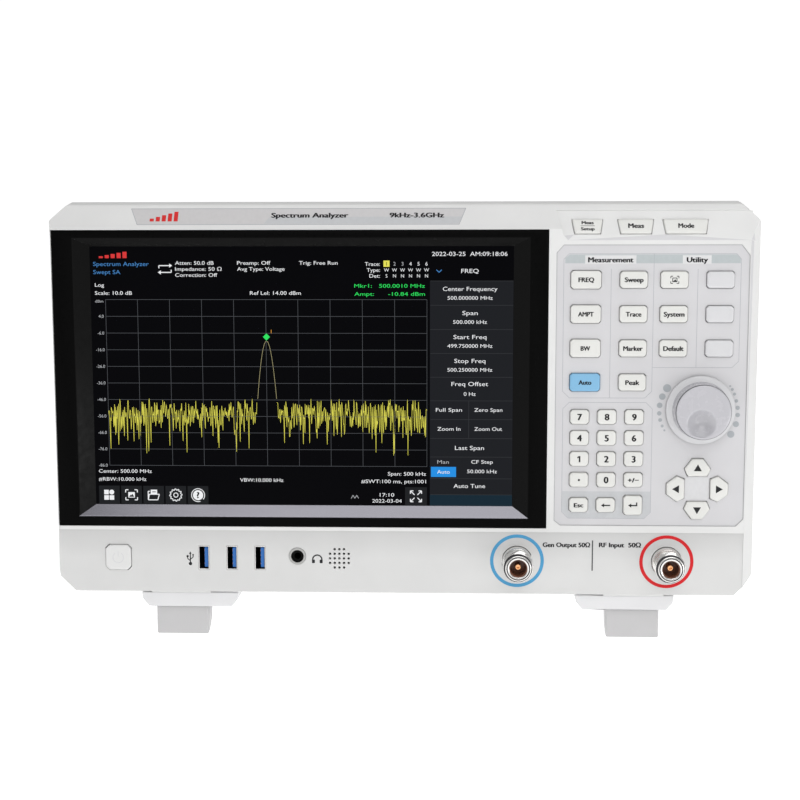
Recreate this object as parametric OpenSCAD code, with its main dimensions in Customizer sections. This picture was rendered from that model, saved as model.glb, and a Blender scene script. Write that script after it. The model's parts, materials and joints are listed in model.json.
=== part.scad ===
// Bench spectrum analyzer standing on its two open front legs.
// Body coordinates: x to the right, y from the front panel to the rear, z up the panel.
// The panel plane is y = 0 and the undersides of the foot pads are z = 0.
// standing() tips the body back and sets it on the floor.

/* [Body] */
// Width across the side walls
body_w = 378; // [376:0.5:382]
// Height of the top rim above the foot pads
rim_z = 220; // [219.5:0.5:221]
// Height of the casing's underside above the foot pads
casing_z = 8; // [7.5:0.5:8.5]
// Depth of the moulded front frame
frame_depth = 34; // [33:0.5:36]
// Depth from the panel plane to the rear wall
body_depth = 118; // [116:1:122]
// Wall thickness of the mouldings
wall = 2.6; // [2.2:0.1:3]
// Thickness of the front panel
panel_t = 3; // [2.8:0.1:3.2]

/* [Screen] */
// Width of the black surround
surround_w = 264.1; // [263.5:0.1:264.5]
// Height of the black surround
surround_h = 159.5; // [159:0.1:160]
// Height of the surround's lower edge
surround_z = 45.5; // [45.2:0.1:46]
// Width of the visible glass
glass_w = 226.4; // [225:0.2:228]
// Height of the visible glass
glass_h = 139.8; // [139:0.2:141]
// Depth of the glass behind the panel plane
glass_y = 4; // [3.8:0.1:4.2]

/* [Keys] */
// How far a key stands out of the recessed panel
key_proud = 1.8; // [1.4:0.1:2.2]
// Travel of a key
key_travel = 1; // [0.6:0.1:1.1]
// Gap around a key in its opening
key_gap = 0.3; // [0.25:0.05:0.4]
// Pitch of the function key rows
fn_pitch = 18.1; // [17.9:0.1:18.2]
// Pitch of the number key columns
num_pitch_x = 14.45; // [14.3:0.05:14.6]
// Pitch of the number key rows
num_pitch_z = 11.3; // [11.2:0.1:11.4]
// Distance of an arrow key from the centre of the cross
arrow_r = 11.6; // [11.4:0.1:12]

/* [Tuning knob] */
// Diameter of the knob's grip
knob_d = 29.6; // [28:0.2:31]
// Diameter of the knob's skirt
skirt_d = 36.4; // [34:0.2:37]
// Height of the knob above the panel plane
knob_h = 12; // [11:0.5:14]

/* [Power button] */
// Width of the square power button
power_w = 13.8; // [13:0.2:14.4]
// Travel of the power button
power_travel = 1.5; // [1:0.1:1.8]

/* [Connectors] */
// Outer diameter of the type N coupling thread
n_thread_d = 15.88; // [15.86:0.01:15.9]
// How far a type N socket stands out of the panel
n_length = 18; // [17:0.5:19]
// Bore of the headphone socket
jack_bore_d = 3.6; // [3.5:0.05:3.7]

/* [Legs] */
// How far an open leg reaches below the foot pads
leg_drop = 15.5; // [14:0.5:16]
// Offset of the feet to the right of the body's middle
feet_shift = 2.1; // [0:0.1:3]
// Width of a leg
leg_w = 28.5; // [27:0.5:30]
// Width of a front foot pad
pad_w = 53.4; // [52:0.2:56]

/* [Handle] */
// Length of the carrying handle
handle_w = 170; // [150:2:180]
// Length of a handle arm from its pivot to the grip's centre
handle_reach = 26; // [24:0.5:27]

/* [Hidden] */
$fn = 48;
eps = 0.1;
half_w = body_w / 2;

// Outline of the body seen from the front
corner_top = 10.6;
corner_low = 11.5;

// Front edges: how far each one is cut back, and over what depth
edge_depth = 6;
edge_left = 2.4;
edge_right = 6;
edge_low_y = 4;
edge_low_z = 1.5;
slope_z = 205.5;
slope_run = 9;
slope_rise = 13;
rim_y = 14;

// Screen stack behind the surround
surround_x = -186.6;
surround_t = 5.9;
seat_gap = 0.2;
seat_t = 2.4;
bevel_x = 8.2;
bevel_top = 4.4;
bevel_low = 5.7;
glass_x = -167;
glass_z = surround_z + 11.1;
glass_lap = 4;
glass_t = 1.4;
glass_gap = 0.2;
window_side = 5.5;
window_edge = 5;
lcd_lip = 2;
lcd_y = 6.6;
lcd_t = 4;
lcd_plug = [80, 4, 36];

// Recessed key section, stepped and chamfered
section_recess = 0.6;
section_x0 = 81.6;
section_x1 = 182.7;
section_z0 = 47;
section_z1 = 197.2;

// Key rows and columns
fn_z = 178.8;
fn_x = [97.2, 122.2, 143.4, 167.5];
fn_w = [15.9, 14.4, 14.4, 14.4];
fn_h = [9.5, 8.8, 8.8, 8.8];
num_x = 94.7;
num_z = 106;
num_w = 9.9;
num_h = 7.7;
enter_h = 10.4;
edit_row_z = 58.4;
arrow_x = 157.7;
arrow_z = 67.4;
key_corner = 1.2;
flange = 0.9;
arrow_flange = 0.7;
flange_t = 0.8;
flange_gap = 0.3;
cap_front = section_recess - key_proud;
flange_y = panel_t + flange_gap;
key_back = flange_y + flange_t;

// Tilted pocket of the three upper keys
pocket_z = 199.5;
pocket_tilt = 25;
pocket_rise = 17;
pocket_wall = 2.4;
top_key_z = 7.6;
top_key_h = 8;
top_key_flare = 0.7;
top_key_front = -1.4;
top_flange_y = pocket_wall + flange_gap;
top_mat_y = 5.6;
top_mat_t = 1.4;
top_mat_z0 = 2.4;
top_mat_z1 = 12.6;

// Rubber mat and key board behind the keys
dome_gap = 0.4;
dome_y = key_back + key_travel + dome_gap;
dome_r = 2;
mat_y = 7.4;
mat_t = 1.6;
board_t = 1.6;
mat_x0 = section_x0 + 3;
mat_x1 = section_x1 - 3;
mat_z0 = section_z0 + 1;
mat_z1 = section_z1 - 11;
top_mat_x0 = section_x0 + 5;
top_mat_x1 = section_x1 - 18;

// Tuning knob and its encoder
knob_x = 158.4;
knob_z = 110;
knob_gap = 0.5;
skirt_y = -section_recess;
grip_y = -3.4;
shaft_r = 3;
fit_gap = 0.05;
bush_r = 3.5;
bush_front = -2.4;
encoder_w = 12.4;
encoder_y = 4.4;
dimple_x = -1;
dimple_z = -6;
dimple_r = 7.5;
dimple_depth = 1.6;

// Lower strip with the sockets
strip_recess = 0.5;
strip_z = 43.3;
socket_z = 28;
socket_gap = 0.15;
power_x = -154.6;
power_corner = 2;
power_front = -0.9;
plunger_len = 3;
plunger_r = 2.5;
usb_x = -92.5;
usb_pitch = 15.35;
usb_w = 5.8;
usb_h = 13;
usb_wall = 0.4;
usb_depth = 14;
tongue_x0 = 0.2;
tongue_x1 = 2.1;
tongue_h = 11;
jack_x = -56.8;
jack_z = 29.1;
jack_r = 4.6;
jack_body = 12;
speaker_x = -34;
speaker_pitch = 2.53;
speaker_hole_r = 0.7;
speaker_r = 9;
speaker_t = 5;
n_x = [62.1, 142.3];
n_z = 27.4;
n_bore_r = 4.3;
n_bore_len = 10;
n_nose = 1.6;
n_nose_r = 6.9;
n_neck_r = 6.6;
n_thread_end = -8.4;
n_neck_end = -4.6;
n_contact_r = 1.6;
n_contact_in = 4;
n_hole_r = 8.3;
n_nut_r = 9.6;
n_nut_t = 4;
n_tail_r = 5;
io_board_y = 17;

// Foot pads and legs
pad_x = 118.4;
pad_y0 = 3;
pad_y1 = 44;
pad_edge = 4;
pad_flare = 0.6;
leg_x = 123;
leg_pivot_y = 8.5;
leg_pivot_z = 4;
leg_front = 3.6;
leg_back = 10.5;
leg_toe = 3;
leg_pin_r = 1.5;
leg_pin_len = 3;
leg_clear = 0.8;
leg_len = leg_drop + leg_pivot_z + 1;
leg_sweep_r = leg_len + 0.6;
leg_pocket_z = leg_pivot_z + 12;
leg_pocket_y1 = leg_pivot_y + leg_sweep_r + leg_clear;
leg_slot_y0 = leg_pivot_y - leg_front - 1.4;
leg_liner = 1.2;
rear_foot_y = 100;
rear_foot_d = 14;
rear_foot_w = 44;
pivot_y = rear_foot_y + rear_foot_d / 2;

// Rear cover and handle tray
cover_inset = 1;
tray_w = handle_w + 13;
tray_y0 = 48;
tray_y1 = 96;
tray_depth = 15;
hinge_y = 56;
hinge_z = rim_z - 7.5;
hinge_r = 2.5;
hinge_pin = 1.6;
arm_t = 8;
arm_h = 9;
grip_d = 14;
cover_top = rim_z - cover_inset;

// Fan behind the rear grille
fan_x = 112;
fan_z = 150;
fan_w = 60;
fan_t = 15;
fan_bore_r = 28.6;
fan_hub_r = 13;
fan_blades = 7;
fan_screw_pitch = 50;
fan_screw_r = 2.2;
fan_pin_r = 1.5;
fan_y = body_depth - wall - fan_t;
grille_r = 28;
grille_pitch = 3.3;
grille_slot = 1.8;
grille_bars = 8;

// Vents in the side walls
vent_y = 52;
vent_pitch = 5.4;
vent_slot = 3;
vent_z0 = 60;
vent_z1 = 150;

// Rear sockets
bnc_x = [-10, 18, 46];
bnc_z = 40;
bnc_r = 4.85;
bnc_len = 11;
bnc_flange_r = 7;
bnc_flange_t = 2;
bnc_lug_y = 7;
bnc_bore_r = 3.5;
inlet_x = -132;
inlet_z = 48;
inlet_body = [30, 22];
inlet_hole = [24, 16.4];
inlet_depth = 16;
inlet_proud = 1.5;
inlet_pin = [2, 4];
inlet_pin_pitch = 7;
ear_w = 10;
ear_h = 12;
rear_gap = 0.2;
port_wall = 0.7;
// Ports: x from and to, z from and to, depth, width and height of the tongue, length of the tongue
PORTS = [
    [-62, -46, 34, 47.5, 18, 0, 0, 0],
    [-86, -74, 34, 45, 16, 5.6, 2.6, 11],
    [-42, -27, 34, 39.6, 12, 11, 1, 9]
];

// Screws through the rear cover
screw_x = 174;
SCREW_Z = [26, 114, 202];
screw_r = 1.9;
screw_len = 12;
screw_head_r = 3.8;
screw_head_t = 2;
boss_r = 5;
boss_len = 16;

// Inner structure
chassis_t = 1.5;
chassis_y = 40;
chassis_z = 14;
chassis_top = 200;
chassis_inset = 12;
main_board_y = 50;
supply_y = 48;
standoff_r = 3;
fin_pitch = 5.4;
fin_t = 2;
can_h = 14;
can_wall = 1;

// Stance: the floor touches the leg tips and the rear feet
tip_y = leg_pivot_y - leg_front + leg_toe / 2;
stand_tilt = atan(leg_drop / (pivot_y - tip_y));
lift = pivot_y * sin(stand_tilt);
front_reach = -n_length * cos(stand_tilt) + (n_z - n_nose_r) * sin(stand_tilt);
rear_reach = body_depth * cos(stand_tilt) + cover_top * sin(stand_tilt);
centre_y = -(front_reach + rear_reach) / 2;

// Function keys: name, column, row
FN_KEYS = [
    ["key_freq", 0, 0], ["key_ampt", 0, 1], ["key_bw", 0, 2], ["key_auto", 0, 3],
    ["key_sweep", 1, 0], ["key_trace", 1, 1], ["key_marker", 1, 2], ["key_peak", 1, 3],
    ["key_screenshot", 2, 0], ["key_system", 2, 1], ["key_default", 2, 2],
    ["key_blank_1", 3, 0], ["key_blank_2", 3, 1], ["key_blank_3", 3, 2]
];
// Number keys: name, column, row
NUM_KEYS = [
    ["key_7", 0, 0], ["key_8", 1, 0], ["key_9", 2, 0],
    ["key_4", 0, 1], ["key_5", 1, 1], ["key_6", 2, 1],
    ["key_1", 0, 2], ["key_2", 1, 2], ["key_3", 2, 2],
    ["key_point", 0, 3], ["key_0", 1, 3], ["key_sign", 2, 3],
    ["key_esc", 0, 4], ["key_backspace", 1, 4], ["key_enter", 2, 4]
];
// Arrow keys: name, direction
ARROW_KEYS = [["key_up", 90], ["key_left", 180], ["key_right", 0], ["key_down", 270]];
// Upper keys: name, centre, width
TOP_KEYS = [["key_meas_setup", 97.8, 14.8], ["key_meas", 123.1, 17.4], ["key_mode", 149.2, 22.3]];

// Every rectangular panel key: name, x, z, width, height
PANEL_KEYS = concat(
    [for (k = FN_KEYS) [k[0], fn_x[k[1]], fn_z - k[2] * fn_pitch, fn_w[k[1]], fn_h[k[1]]]],
    [for (k = NUM_KEYS) [
        k[0],
        num_x + k[1] * num_pitch_x,
        k[2] == 4 ? edit_row_z : num_z - k[2] * num_pitch_z,
        num_w,
        k[0] == "key_enter" ? enter_h : num_h
    ]]
);

// ---- Placing and basic shapes ----

// Tips the body back until the leg tips and rear feet share the floor plane
module standing() {
    translate([0, centre_y, lift])
        rotate([-stand_tilt, 0, 0])
            children();
}

// Removes everything below the floor from a piece that stands on it
module cut_at_floor() {
    difference() {
        children();
        translate([-body_w, -body_w, -50])
            cube([2 * body_w, 2 * body_w, 50]);
    }
}

// Mirrors a piece of the right side to the left when side is negative
module on_side(side) {
    mirror([side < 0 ? 1 : 0, 0, 0])
        children();
}

// The same for the feet, which stand a little off the body's middle
module foot_side(side) {
    translate([feet_shift, 0, 0])
        on_side(side)
            children();
}

module block(x0, x1, y0, y1, z0, z1) {
    translate([x0, y0, z0])
        cube([x1 - x0, y1 - y0, z1 - z0]);
}

// Extrudes an outline of [x, z] points from y0 to y1
module front_prism(points, y0, y1) {
    translate([0, y1, 0])
        rotate([90, 0, 0])
            linear_extrude(height = y1 - y0)
                polygon(points);
}

// Extrudes an outline of [y, z] points from x0 to x1
module side_prism(points, x0, x1) {
    translate([x0, 0, 0])
        rotate([90, 0, 90])
            linear_extrude(height = x1 - x0)
                polygon(points);
}

// Extrudes an outline of [x, y] points from z0 to z1
module plan_prism(points, z0, z1) {
    translate([0, 0, z0])
        linear_extrude(height = z1 - z0)
            polygon(points);
}

module y_rod(x, z, y0, y1, r) {
    translate([x, y1, z])
        rotate([90, 0, 0])
            cylinder(h = y1 - y0, r = r);
}

module y_cone(x, z, y0, y1, r0, r1) {
    translate([x, y1, z])
        rotate([90, 0, 0])
            cylinder(h = y1 - y0, r1 = r1, r2 = r0);
}

module x_rod(y, z, x0, x1, r) {
    translate([x0, y, z])
        rotate([0, 90, 0])
            cylinder(h = x1 - x0, r = r);
}

// Rectangle with its corners cut off, about its own centre
function cut_rect(w, h, c) = [
    [-w / 2 + c, -h / 2], [w / 2 - c, -h / 2], [w / 2, -h / 2 + c], [w / 2, h / 2 - c],
    [w / 2 - c, h / 2], [-w / 2 + c, h / 2], [-w / 2, h / 2 - c], [-w / 2, -h / 2 + c]
];

function moved(points, x, z) = [for (p = points) [p[0] + x, p[1] + z]];

function turned(points, a) = [
    for (p = points) [p[0] * cos(a) - p[1] * sin(a), p[0] * sin(a) + p[1] * cos(a)]
];

// Outline of the body, drawn in by a distance
function body_outline(d) = [
    [-half_w + corner_low, casing_z + d], [half_w - corner_low, casing_z + d],
    [half_w - d, casing_z + corner_low], [half_w - d, rim_z - corner_top],
    [half_w - corner_top, rim_z - d], [-half_w + corner_top, rim_z - d],
    [-half_w + d, rim_z - corner_top], [-half_w + d, casing_z + corner_low]
];

// ---- Front frame ----

module frame_block() {
    intersection() {
        front_prism(body_outline(0), 0, frame_depth);
        side_prism([
            [0, casing_z + edge_low_z], [edge_low_y, casing_z], [frame_depth, casing_z],
            [frame_depth, rim_z], [rim_y, rim_z],
            [slope_run, slope_z + slope_rise], [0, slope_z]
        ], -half_w, half_w);
        plan_prism([
            [-half_w + edge_left, 0], [-half_w, edge_depth], [-half_w, frame_depth],
            [half_w, frame_depth], [half_w, edge_depth], [half_w - edge_right, 0]
        ], 0, rim_z);
    }
}

module frame_hollow() {
    // Where the hollow starts behind the slanted right edge, one wall inside it
    slant_x = half_w - edge_right + panel_t - wall * sqrt(2);
    intersection() {
        plan_prism([
            [-half_w, panel_t], [-half_w, frame_depth + 1], [half_w, frame_depth + 1],
            [half_w, panel_t + (half_w - slant_x) * edge_depth / edge_right], [slant_x, panel_t]
        ], 0, rim_z);
        front_prism(body_outline(wall), panel_t, frame_depth + eps);
        side_prism([
            [panel_t, casing_z + wall + edge_low_z], [edge_low_y + 1, casing_z + wall],
            [frame_depth + eps, casing_z + wall], [frame_depth + eps, rim_z - wall],
            [rim_y + 1, rim_z - wall], [slope_run + wall, slope_z + slope_rise - wall / 2],
            [panel_t, slope_z - 0.6]
        ], -half_w, half_w);
    }
}

// Ledge that carries the surround and the screen stack
module screen_seat() {
    block(-half_w + wall, surround_x + surround_w + wall, panel_t - 1, edge_depth + seat_t,
        surround_z - wall, surround_z + surround_h + wall);
}

module screen_pocket() {
    block(-half_w - 1, surround_x + surround_w + seat_gap, -1, edge_depth,
        surround_z - seat_gap, surround_z + surround_h + seat_gap);
    block(glass_x - window_side, glass_x + glass_w + window_side,
        edge_depth - 1, edge_depth + seat_t + eps,
        glass_z - window_edge, glass_z + glass_h + window_edge);
}

module key_section() {
    front_prism([
        [section_x0 + 3.4, section_z0], [section_x1 - 4, section_z0], [section_x1, section_z0 + 4],
        [section_x1, section_z1 - 5.6], [section_x1 - 4.4, section_z1],
        [section_x0 + 3.8, section_z1], [section_x0, section_z1 - 4.2], [section_x0, section_z0 + 2.7]
    ], -1, section_recess);
}

// Coordinates of the tilted pocket: y goes inwards from its floor, z up along it
module in_pocket() {
    translate([0, 0, pocket_z])
        rotate([-pocket_tilt, 0, 0])
            children();
}

module pocket_plate() {
    in_pocket()
        block(section_x0 - wall, section_x1 + 2, 0, pocket_wall, 0, pocket_rise);
}

module pocket_cut() {
    in_pocket()
        front_prism([
            [section_x0 + 6, 0], [half_w + 5, 0], [half_w + 5, pocket_rise], [section_x0, pocket_rise],
            [section_x0 + 1, pocket_rise - 6], [section_x0 + 3.5, 2.5]
        ], -20, 0);
}

module key_openings() {
    for (k = PANEL_KEYS)
        front_prism(moved(cut_rect(k[3] + 2 * key_gap, k[4] + 2 * key_gap, key_corner), k[1], k[2]),
            -1, panel_t + eps);
    for (k = ARROW_KEYS)
        front_prism(arrow_points(k[1], key_gap), -1, panel_t + eps);
    in_pocket()
        for (k = TOP_KEYS)
            front_prism(top_key_points(k[1], k[2], key_gap), -1, pocket_wall + 3);
}

module socket_openings() {
    power_hole = power_w + 2 * key_gap;
    usb_hole_w = usb_w + 2 * socket_gap;
    usb_hole_h = usb_h + 2 * socket_gap;
    front_prism(moved(cut_rect(power_hole, power_hole, power_corner), power_x, socket_z),
        -1, panel_t + eps);
    for (i = [-1:1])
        block(usb_x + i * usb_pitch - usb_hole_w / 2, usb_x + i * usb_pitch + usb_hole_w / 2,
            -1, panel_t + eps, socket_z - usb_hole_h / 2, socket_z + usb_hole_h / 2);
    y_rod(jack_x, jack_z, -1, panel_t + eps, jack_r + socket_gap);
    for (x = n_x)
        y_rod(x, n_z, -1, panel_t + eps, n_hole_r);
    y_rod(knob_x, knob_z, -1, panel_t + eps, bush_r + 0.2);
    speaker_holes();
}

// Five by five holes without the corner ones
module speaker_holes() {
    for (i = [-2:2])
        for (j = [-2:2])
            if (abs(i) + abs(j) < 4)
                y_rod(speaker_x + i * speaker_pitch, socket_z + j * speaker_pitch,
                    -1, panel_t + eps, speaker_hole_r);
}

module leg_pocket_walls() {
    half = leg_w / 2 + leg_clear + leg_liner;
    for (side = [-1, 1])
        foot_side(side)
            block(leg_x - half, leg_x + half, panel_t - 1, leg_pocket_y1 + leg_liner,
                casing_z, leg_pocket_z + leg_liner);
}

module leg_pockets() {
    for (side = [-1, 1])
        foot_side(side)
            block(leg_x - leg_w / 2 - leg_clear, leg_x + leg_w / 2 + leg_clear,
                leg_slot_y0, leg_pocket_y1, casing_z - 1, leg_pocket_z);
}

module front_frame() {
    color("WhiteSmoke")
        standing()
            difference() {
                union() {
                    difference() {
                        frame_block();
                        frame_hollow();
                    }
                    screen_seat();
                    pocket_plate();
                    leg_pocket_walls();
                }
                screen_pocket();
                key_section();
                block(-half_w, half_w - edge_right, -1, strip_recess, 0, strip_z);
                pocket_cut();
                key_openings();
                socket_openings();
                leg_pockets();
            }
}

// ---- Screen stack ----

module screen_surround() {
    color([0.05, 0.05, 0.06])
        standing()
            difference() {
                intersection() {
                    frame_block();
                    block(-half_w, surround_x + surround_w, 0, surround_t,
                        surround_z, surround_z + surround_h);
                }
                intersection() {
                    side_prism([
                        [-eps, glass_z - bevel_low], [glass_y, glass_z],
                        [glass_y, glass_z + glass_h], [-eps, glass_z + glass_h + bevel_top]
                    ], -half_w, half_w);
                    plan_prism([
                        [glass_x - bevel_x, -eps], [glass_x + glass_w + bevel_x, -eps],
                        [glass_x + glass_w, glass_y], [glass_x, glass_y]
                    ], 0, rim_z);
                }
                glass_block(glass_lap + glass_gap, glass_y - eps, surround_t + eps);
            }
}

// Block as large as the visible glass, grown by a margin
module glass_block(margin, y0, y1) {
    block(glass_x - margin, glass_x + glass_w + margin, y0, y1,
        glass_z - margin, glass_z + glass_h + margin);
}

module touch_glass() {
    color([0.1, 0.1, 0.12])
        standing()
            glass_block(glass_lap, glass_y, glass_y + glass_t);
}

module lcd_panel() {
    back = lcd_y + lcd_t;
    color("SlateGray")
        standing() {
            glass_block(lcd_lip, glass_y + glass_t, back);
            translate([glass_x + (glass_w - lcd_plug[0]) / 2, back, glass_z + glass_lap])
                cube(lcd_plug);
        }
}

// ---- Keys ----

// Outline of an arrow key that points along direction a, grown by g
function arrow_points(a, g) = moved(
    turned([
        [-2.9 - g / 2, 4.7 + g], [-6.9 - g, -0.7], [-5.2 - g, -4.7 - g],
        [5.2 + g, -4.7 - g], [6.9 + g, -0.7], [2.9 + g / 2, 4.7 + g]
    ], a - 90),
    arrow_x + arrow_r * cos(a),
    arrow_z + arrow_r * sin(a)
);

// Outline of an upper key, wider at its top, grown by g
function top_key_points(x, w, g) = [
    [x - w / 2 + top_key_flare - g, top_key_z - top_key_h / 2 - g],
    [x + w / 2 - top_key_flare + g, top_key_z - top_key_h / 2 - g],
    [x + w / 2 + top_key_flare + g, top_key_z + top_key_h / 2 + g],
    [x - w / 2 - top_key_flare - g, top_key_z + top_key_h / 2 + g]
];

// Cap through the panel with a retaining flange behind it
module panel_key(x, z, w, h) {
    standing() {
        front_prism(moved(cut_rect(w, h, key_corner), x, z), cap_front, key_back);
        front_prism(moved(cut_rect(w + 2 * flange, h + 2 * flange, key_corner), x, z), flange_y, key_back);
    }
}

module arrow_key(a) {
    standing() {
        front_prism(arrow_points(a, 0), cap_front, key_back);
        front_prism(arrow_points(a, arrow_flange), flange_y, key_back);
    }
}

module top_key(x, w) {
    standing()
        in_pocket() {
            front_prism(top_key_points(x, w, 0), top_key_front, top_flange_y + flange_t);
            front_prism(top_key_points(x, w, flange), top_flange_y, top_flange_y + flange_t);
        }
}

module power_outline_prism(margin, y0, y1) {
    size = power_w + 2 * margin;
    front_prism(moved(cut_rect(size, size, power_corner), power_x, socket_z), y0, y1);
}

module power_button() {
    color("Gainsboro")
        standing() {
            power_outline_prism(0, power_front, key_back);
            power_outline_prism(flange, flange_y, key_back);
            y_rod(power_x, socket_z, key_back, key_back + plunger_len, plunger_r);
        }
}

// Square block about the knob's axis
module encoder_block(margin, y0, y1) {
    half = encoder_w / 2 + margin;
    block(knob_x - half, knob_x + half, y0, y1, knob_z - half, knob_z + half);
}

module keypad_mat() {
    color("DimGray")
        standing() {
            difference() {
                block(mat_x0, mat_x1, mat_y, mat_y + mat_t, mat_z0, mat_z1);
                encoder_block(1, mat_y - eps, mat_y + mat_t + eps);
            }
            for (k = PANEL_KEYS)
                y_rod(k[1], k[2], dome_y, mat_y, dome_r);
            for (k = ARROW_KEYS)
                y_rod(arrow_x + arrow_r * cos(k[1]), arrow_z + arrow_r * sin(k[1]),
                    dome_y, mat_y, dome_r);
            in_pocket() {
                block(top_mat_x0, top_mat_x1, top_mat_y, top_mat_y + top_mat_t, top_mat_z0, top_mat_z1);
                for (k = TOP_KEYS)
                    y_rod(k[1], top_key_z, top_mat_y - 0.8, top_mat_y, dome_r);
            }
        }
}

module key_board() {
    board_y = mat_y + mat_t;
    back = board_y + board_t;
    top_board_y = top_mat_y + top_mat_t;
    color("DarkGreen")
        standing() {
            difference() {
                block(mat_x0, mat_x1, board_y, back, mat_z0, mat_z1);
                y_rod(knob_x, knob_z, board_y - eps, back + eps, shaft_r + 0.6);
            }
            translate([mat_x0 + 9, back, 120])
                cube([28, 5, 6]);
            in_pocket()
                block(top_mat_x0, top_mat_x1, top_board_y, top_board_y + board_t, top_mat_z0, top_mat_z1);
        }
}

// ---- Tuning knob ----

module encoder() {
    color("Silver")
        standing()
            difference() {
                union() {
                    encoder_block(0, encoder_y, mat_y + mat_t);
                    y_rod(knob_x, knob_z, bush_front, encoder_y, bush_r);
                }
                y_rod(knob_x, knob_z, bush_front - 1, mat_y + mat_t + 1, shaft_r + fit_gap);
            }
}

module tuning_knob() {
    skirt_r = skirt_d / 2;
    grip_r = knob_d / 2;
    dimple_ball = (dimple_r * dimple_r + dimple_depth * dimple_depth) / (2 * dimple_depth);
    color("LightGray")
        standing() {
            difference() {
                union() {
                    y_rod(knob_x, knob_z, skirt_y - 1, skirt_y, skirt_r);
                    y_cone(knob_x, knob_z, grip_y, skirt_y - 1, grip_r, skirt_r);
                    y_rod(knob_x, knob_z, -knob_h + 1, grip_y, grip_r);
                    y_cone(knob_x, knob_z, -knob_h, -knob_h + 1, grip_r - 1, grip_r);
                }
                y_rod(knob_x, knob_z, bush_front - knob_gap, 1, bush_r + knob_gap);
                translate([knob_x + dimple_x, dimple_depth - knob_h - dimple_ball, knob_z + dimple_z])
                    sphere(r = dimple_ball);
            }
            y_rod(knob_x, knob_z, bush_front - knob_gap - 1, mat_y + mat_t, shaft_r);
        }
}

// ---- Sockets ----

// Nose, thread, neck and barrel in front of the panel, hex nut and cable tail behind it
module n_socket(x) {
    nut_back = panel_t + n_nut_t;
    bore_end = -n_length + n_bore_len;
    difference() {
        union() {
            y_rod(x, n_z, -n_length, -n_length + n_nose, n_nose_r);
            y_rod(x, n_z, -n_length + n_nose, n_thread_end, n_thread_d / 2);
            y_rod(x, n_z, n_thread_end, n_neck_end, n_neck_r);
            y_rod(x, n_z, n_neck_end, panel_t, n_thread_d / 2);
            translate([x, nut_back, n_z])
                rotate([90, 0, 0])
                    cylinder(h = n_nut_t, r = n_nut_r, $fn = 6);
            y_rod(x, n_z, nut_back, 20, n_tail_r);
        }
        y_rod(x, n_z, -n_length - 1, bore_end, n_bore_r);
    }
    y_rod(x, n_z, -n_length + n_contact_in, bore_end + eps, n_contact_r);
}

module rf_connectors() {
    color("Silver")
        standing()
            for (x = n_x)
                n_socket(x);
}

// Block centred on x and z in the panel, from y0 to y1
module panel_block(x, z, w, h, y0, y1) {
    block(x - w / 2, x + w / 2, y0, y1, z - h / 2, z + h / 2);
}

module usb_socket(x) {
    difference() {
        panel_block(x, socket_z, usb_w, usb_h, strip_recess, io_board_y);
        panel_block(x, socket_z, usb_w - 2 * usb_wall, usb_h - 2 * usb_wall, strip_recess - 1, usb_depth);
    }
    block(x + tongue_x0, x + tongue_x1, strip_recess + 1.4, usb_depth + eps,
        socket_z - tongue_h / 2, socket_z + tongue_h / 2);
}

module headphone_socket() {
    difference() {
        union() {
            y_rod(jack_x, jack_z, strip_recess - 0.3, panel_t + 1, jack_r);
            panel_block(jack_x, jack_z, jack_body, jack_body, panel_t + 1, io_board_y);
        }
        y_cone(jack_x, jack_z, strip_recess - 0.4, 1.6, 3.5, 2.9);
        y_rod(jack_x, jack_z, 0, io_board_y - 1, jack_bore_d / 2);
    }
}

// Sockets, speaker and power switch on one board behind the lower strip
module front_sockets() {
    switch_w = 7;
    board_back = io_board_y + board_t;
    color("LightSteelBlue")
        standing() {
            for (i = [-1:1])
                usb_socket(usb_x + i * usb_pitch);
            headphone_socket();
            y_rod(speaker_x, socket_z, panel_t, panel_t + speaker_t, speaker_r);
            difference() {
                block(power_x - 12, speaker_x + 14, io_board_y, board_back, socket_z - 8, socket_z + 12);
                y_rod(speaker_x, socket_z, io_board_y - eps, board_back + eps, speaker_r - 4);
            }
            panel_block(power_x, socket_z, switch_w, switch_w,
                key_back + plunger_len + power_travel + dome_gap, io_board_y);
        }
}

module bnc_socket(x) {
    lug_r = 1;
    difference() {
        union() {
            y_rod(x, bnc_z, body_depth - 12, body_depth, bnc_flange_r - 1);
            y_rod(x, bnc_z, body_depth, body_depth + bnc_flange_t, bnc_flange_r);
            y_rod(x, bnc_z, body_depth, body_depth + bnc_len, bnc_r);
            for (side = [-1, 1])
                x_rod(body_depth + bnc_lug_y, bnc_z, x + side * bnc_r - 1, x + side * bnc_r + 1, lug_r);
        }
        y_rod(x, bnc_z, body_depth + bnc_flange_t, body_depth + bnc_len + 1, bnc_bore_r);
    }
    y_rod(x, bnc_z, body_depth + bnc_flange_t - eps, body_depth + bnc_len - 3, 0.8);
}

// Three-pole mains inlet with its pins and its two screw ears
module mains_inlet() {
    pin_drop = 3;
    pin_rise = 2;
    difference() {
        panel_block(inlet_x, inlet_z, inlet_body[0], inlet_body[1],
            body_depth - inlet_depth - 6, body_depth + inlet_proud);
        panel_block(inlet_x, inlet_z, inlet_hole[0], inlet_hole[1],
            body_depth - inlet_depth, body_depth + inlet_proud + 1);
    }
    for (i = [-1:1])
        panel_block(inlet_x + i * inlet_pin_pitch, inlet_z + pin_rise * abs(i) - pin_drop,
            inlet_pin[0], inlet_pin[1], body_depth - inlet_depth - eps, body_depth - 6.5);
    for (side = [-1, 1])
        panel_block(inlet_x + side * (inlet_body[0] + ear_w) / 2 - side * eps, inlet_z, ear_w, ear_h,
            body_depth, body_depth + inlet_proud);
}

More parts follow.
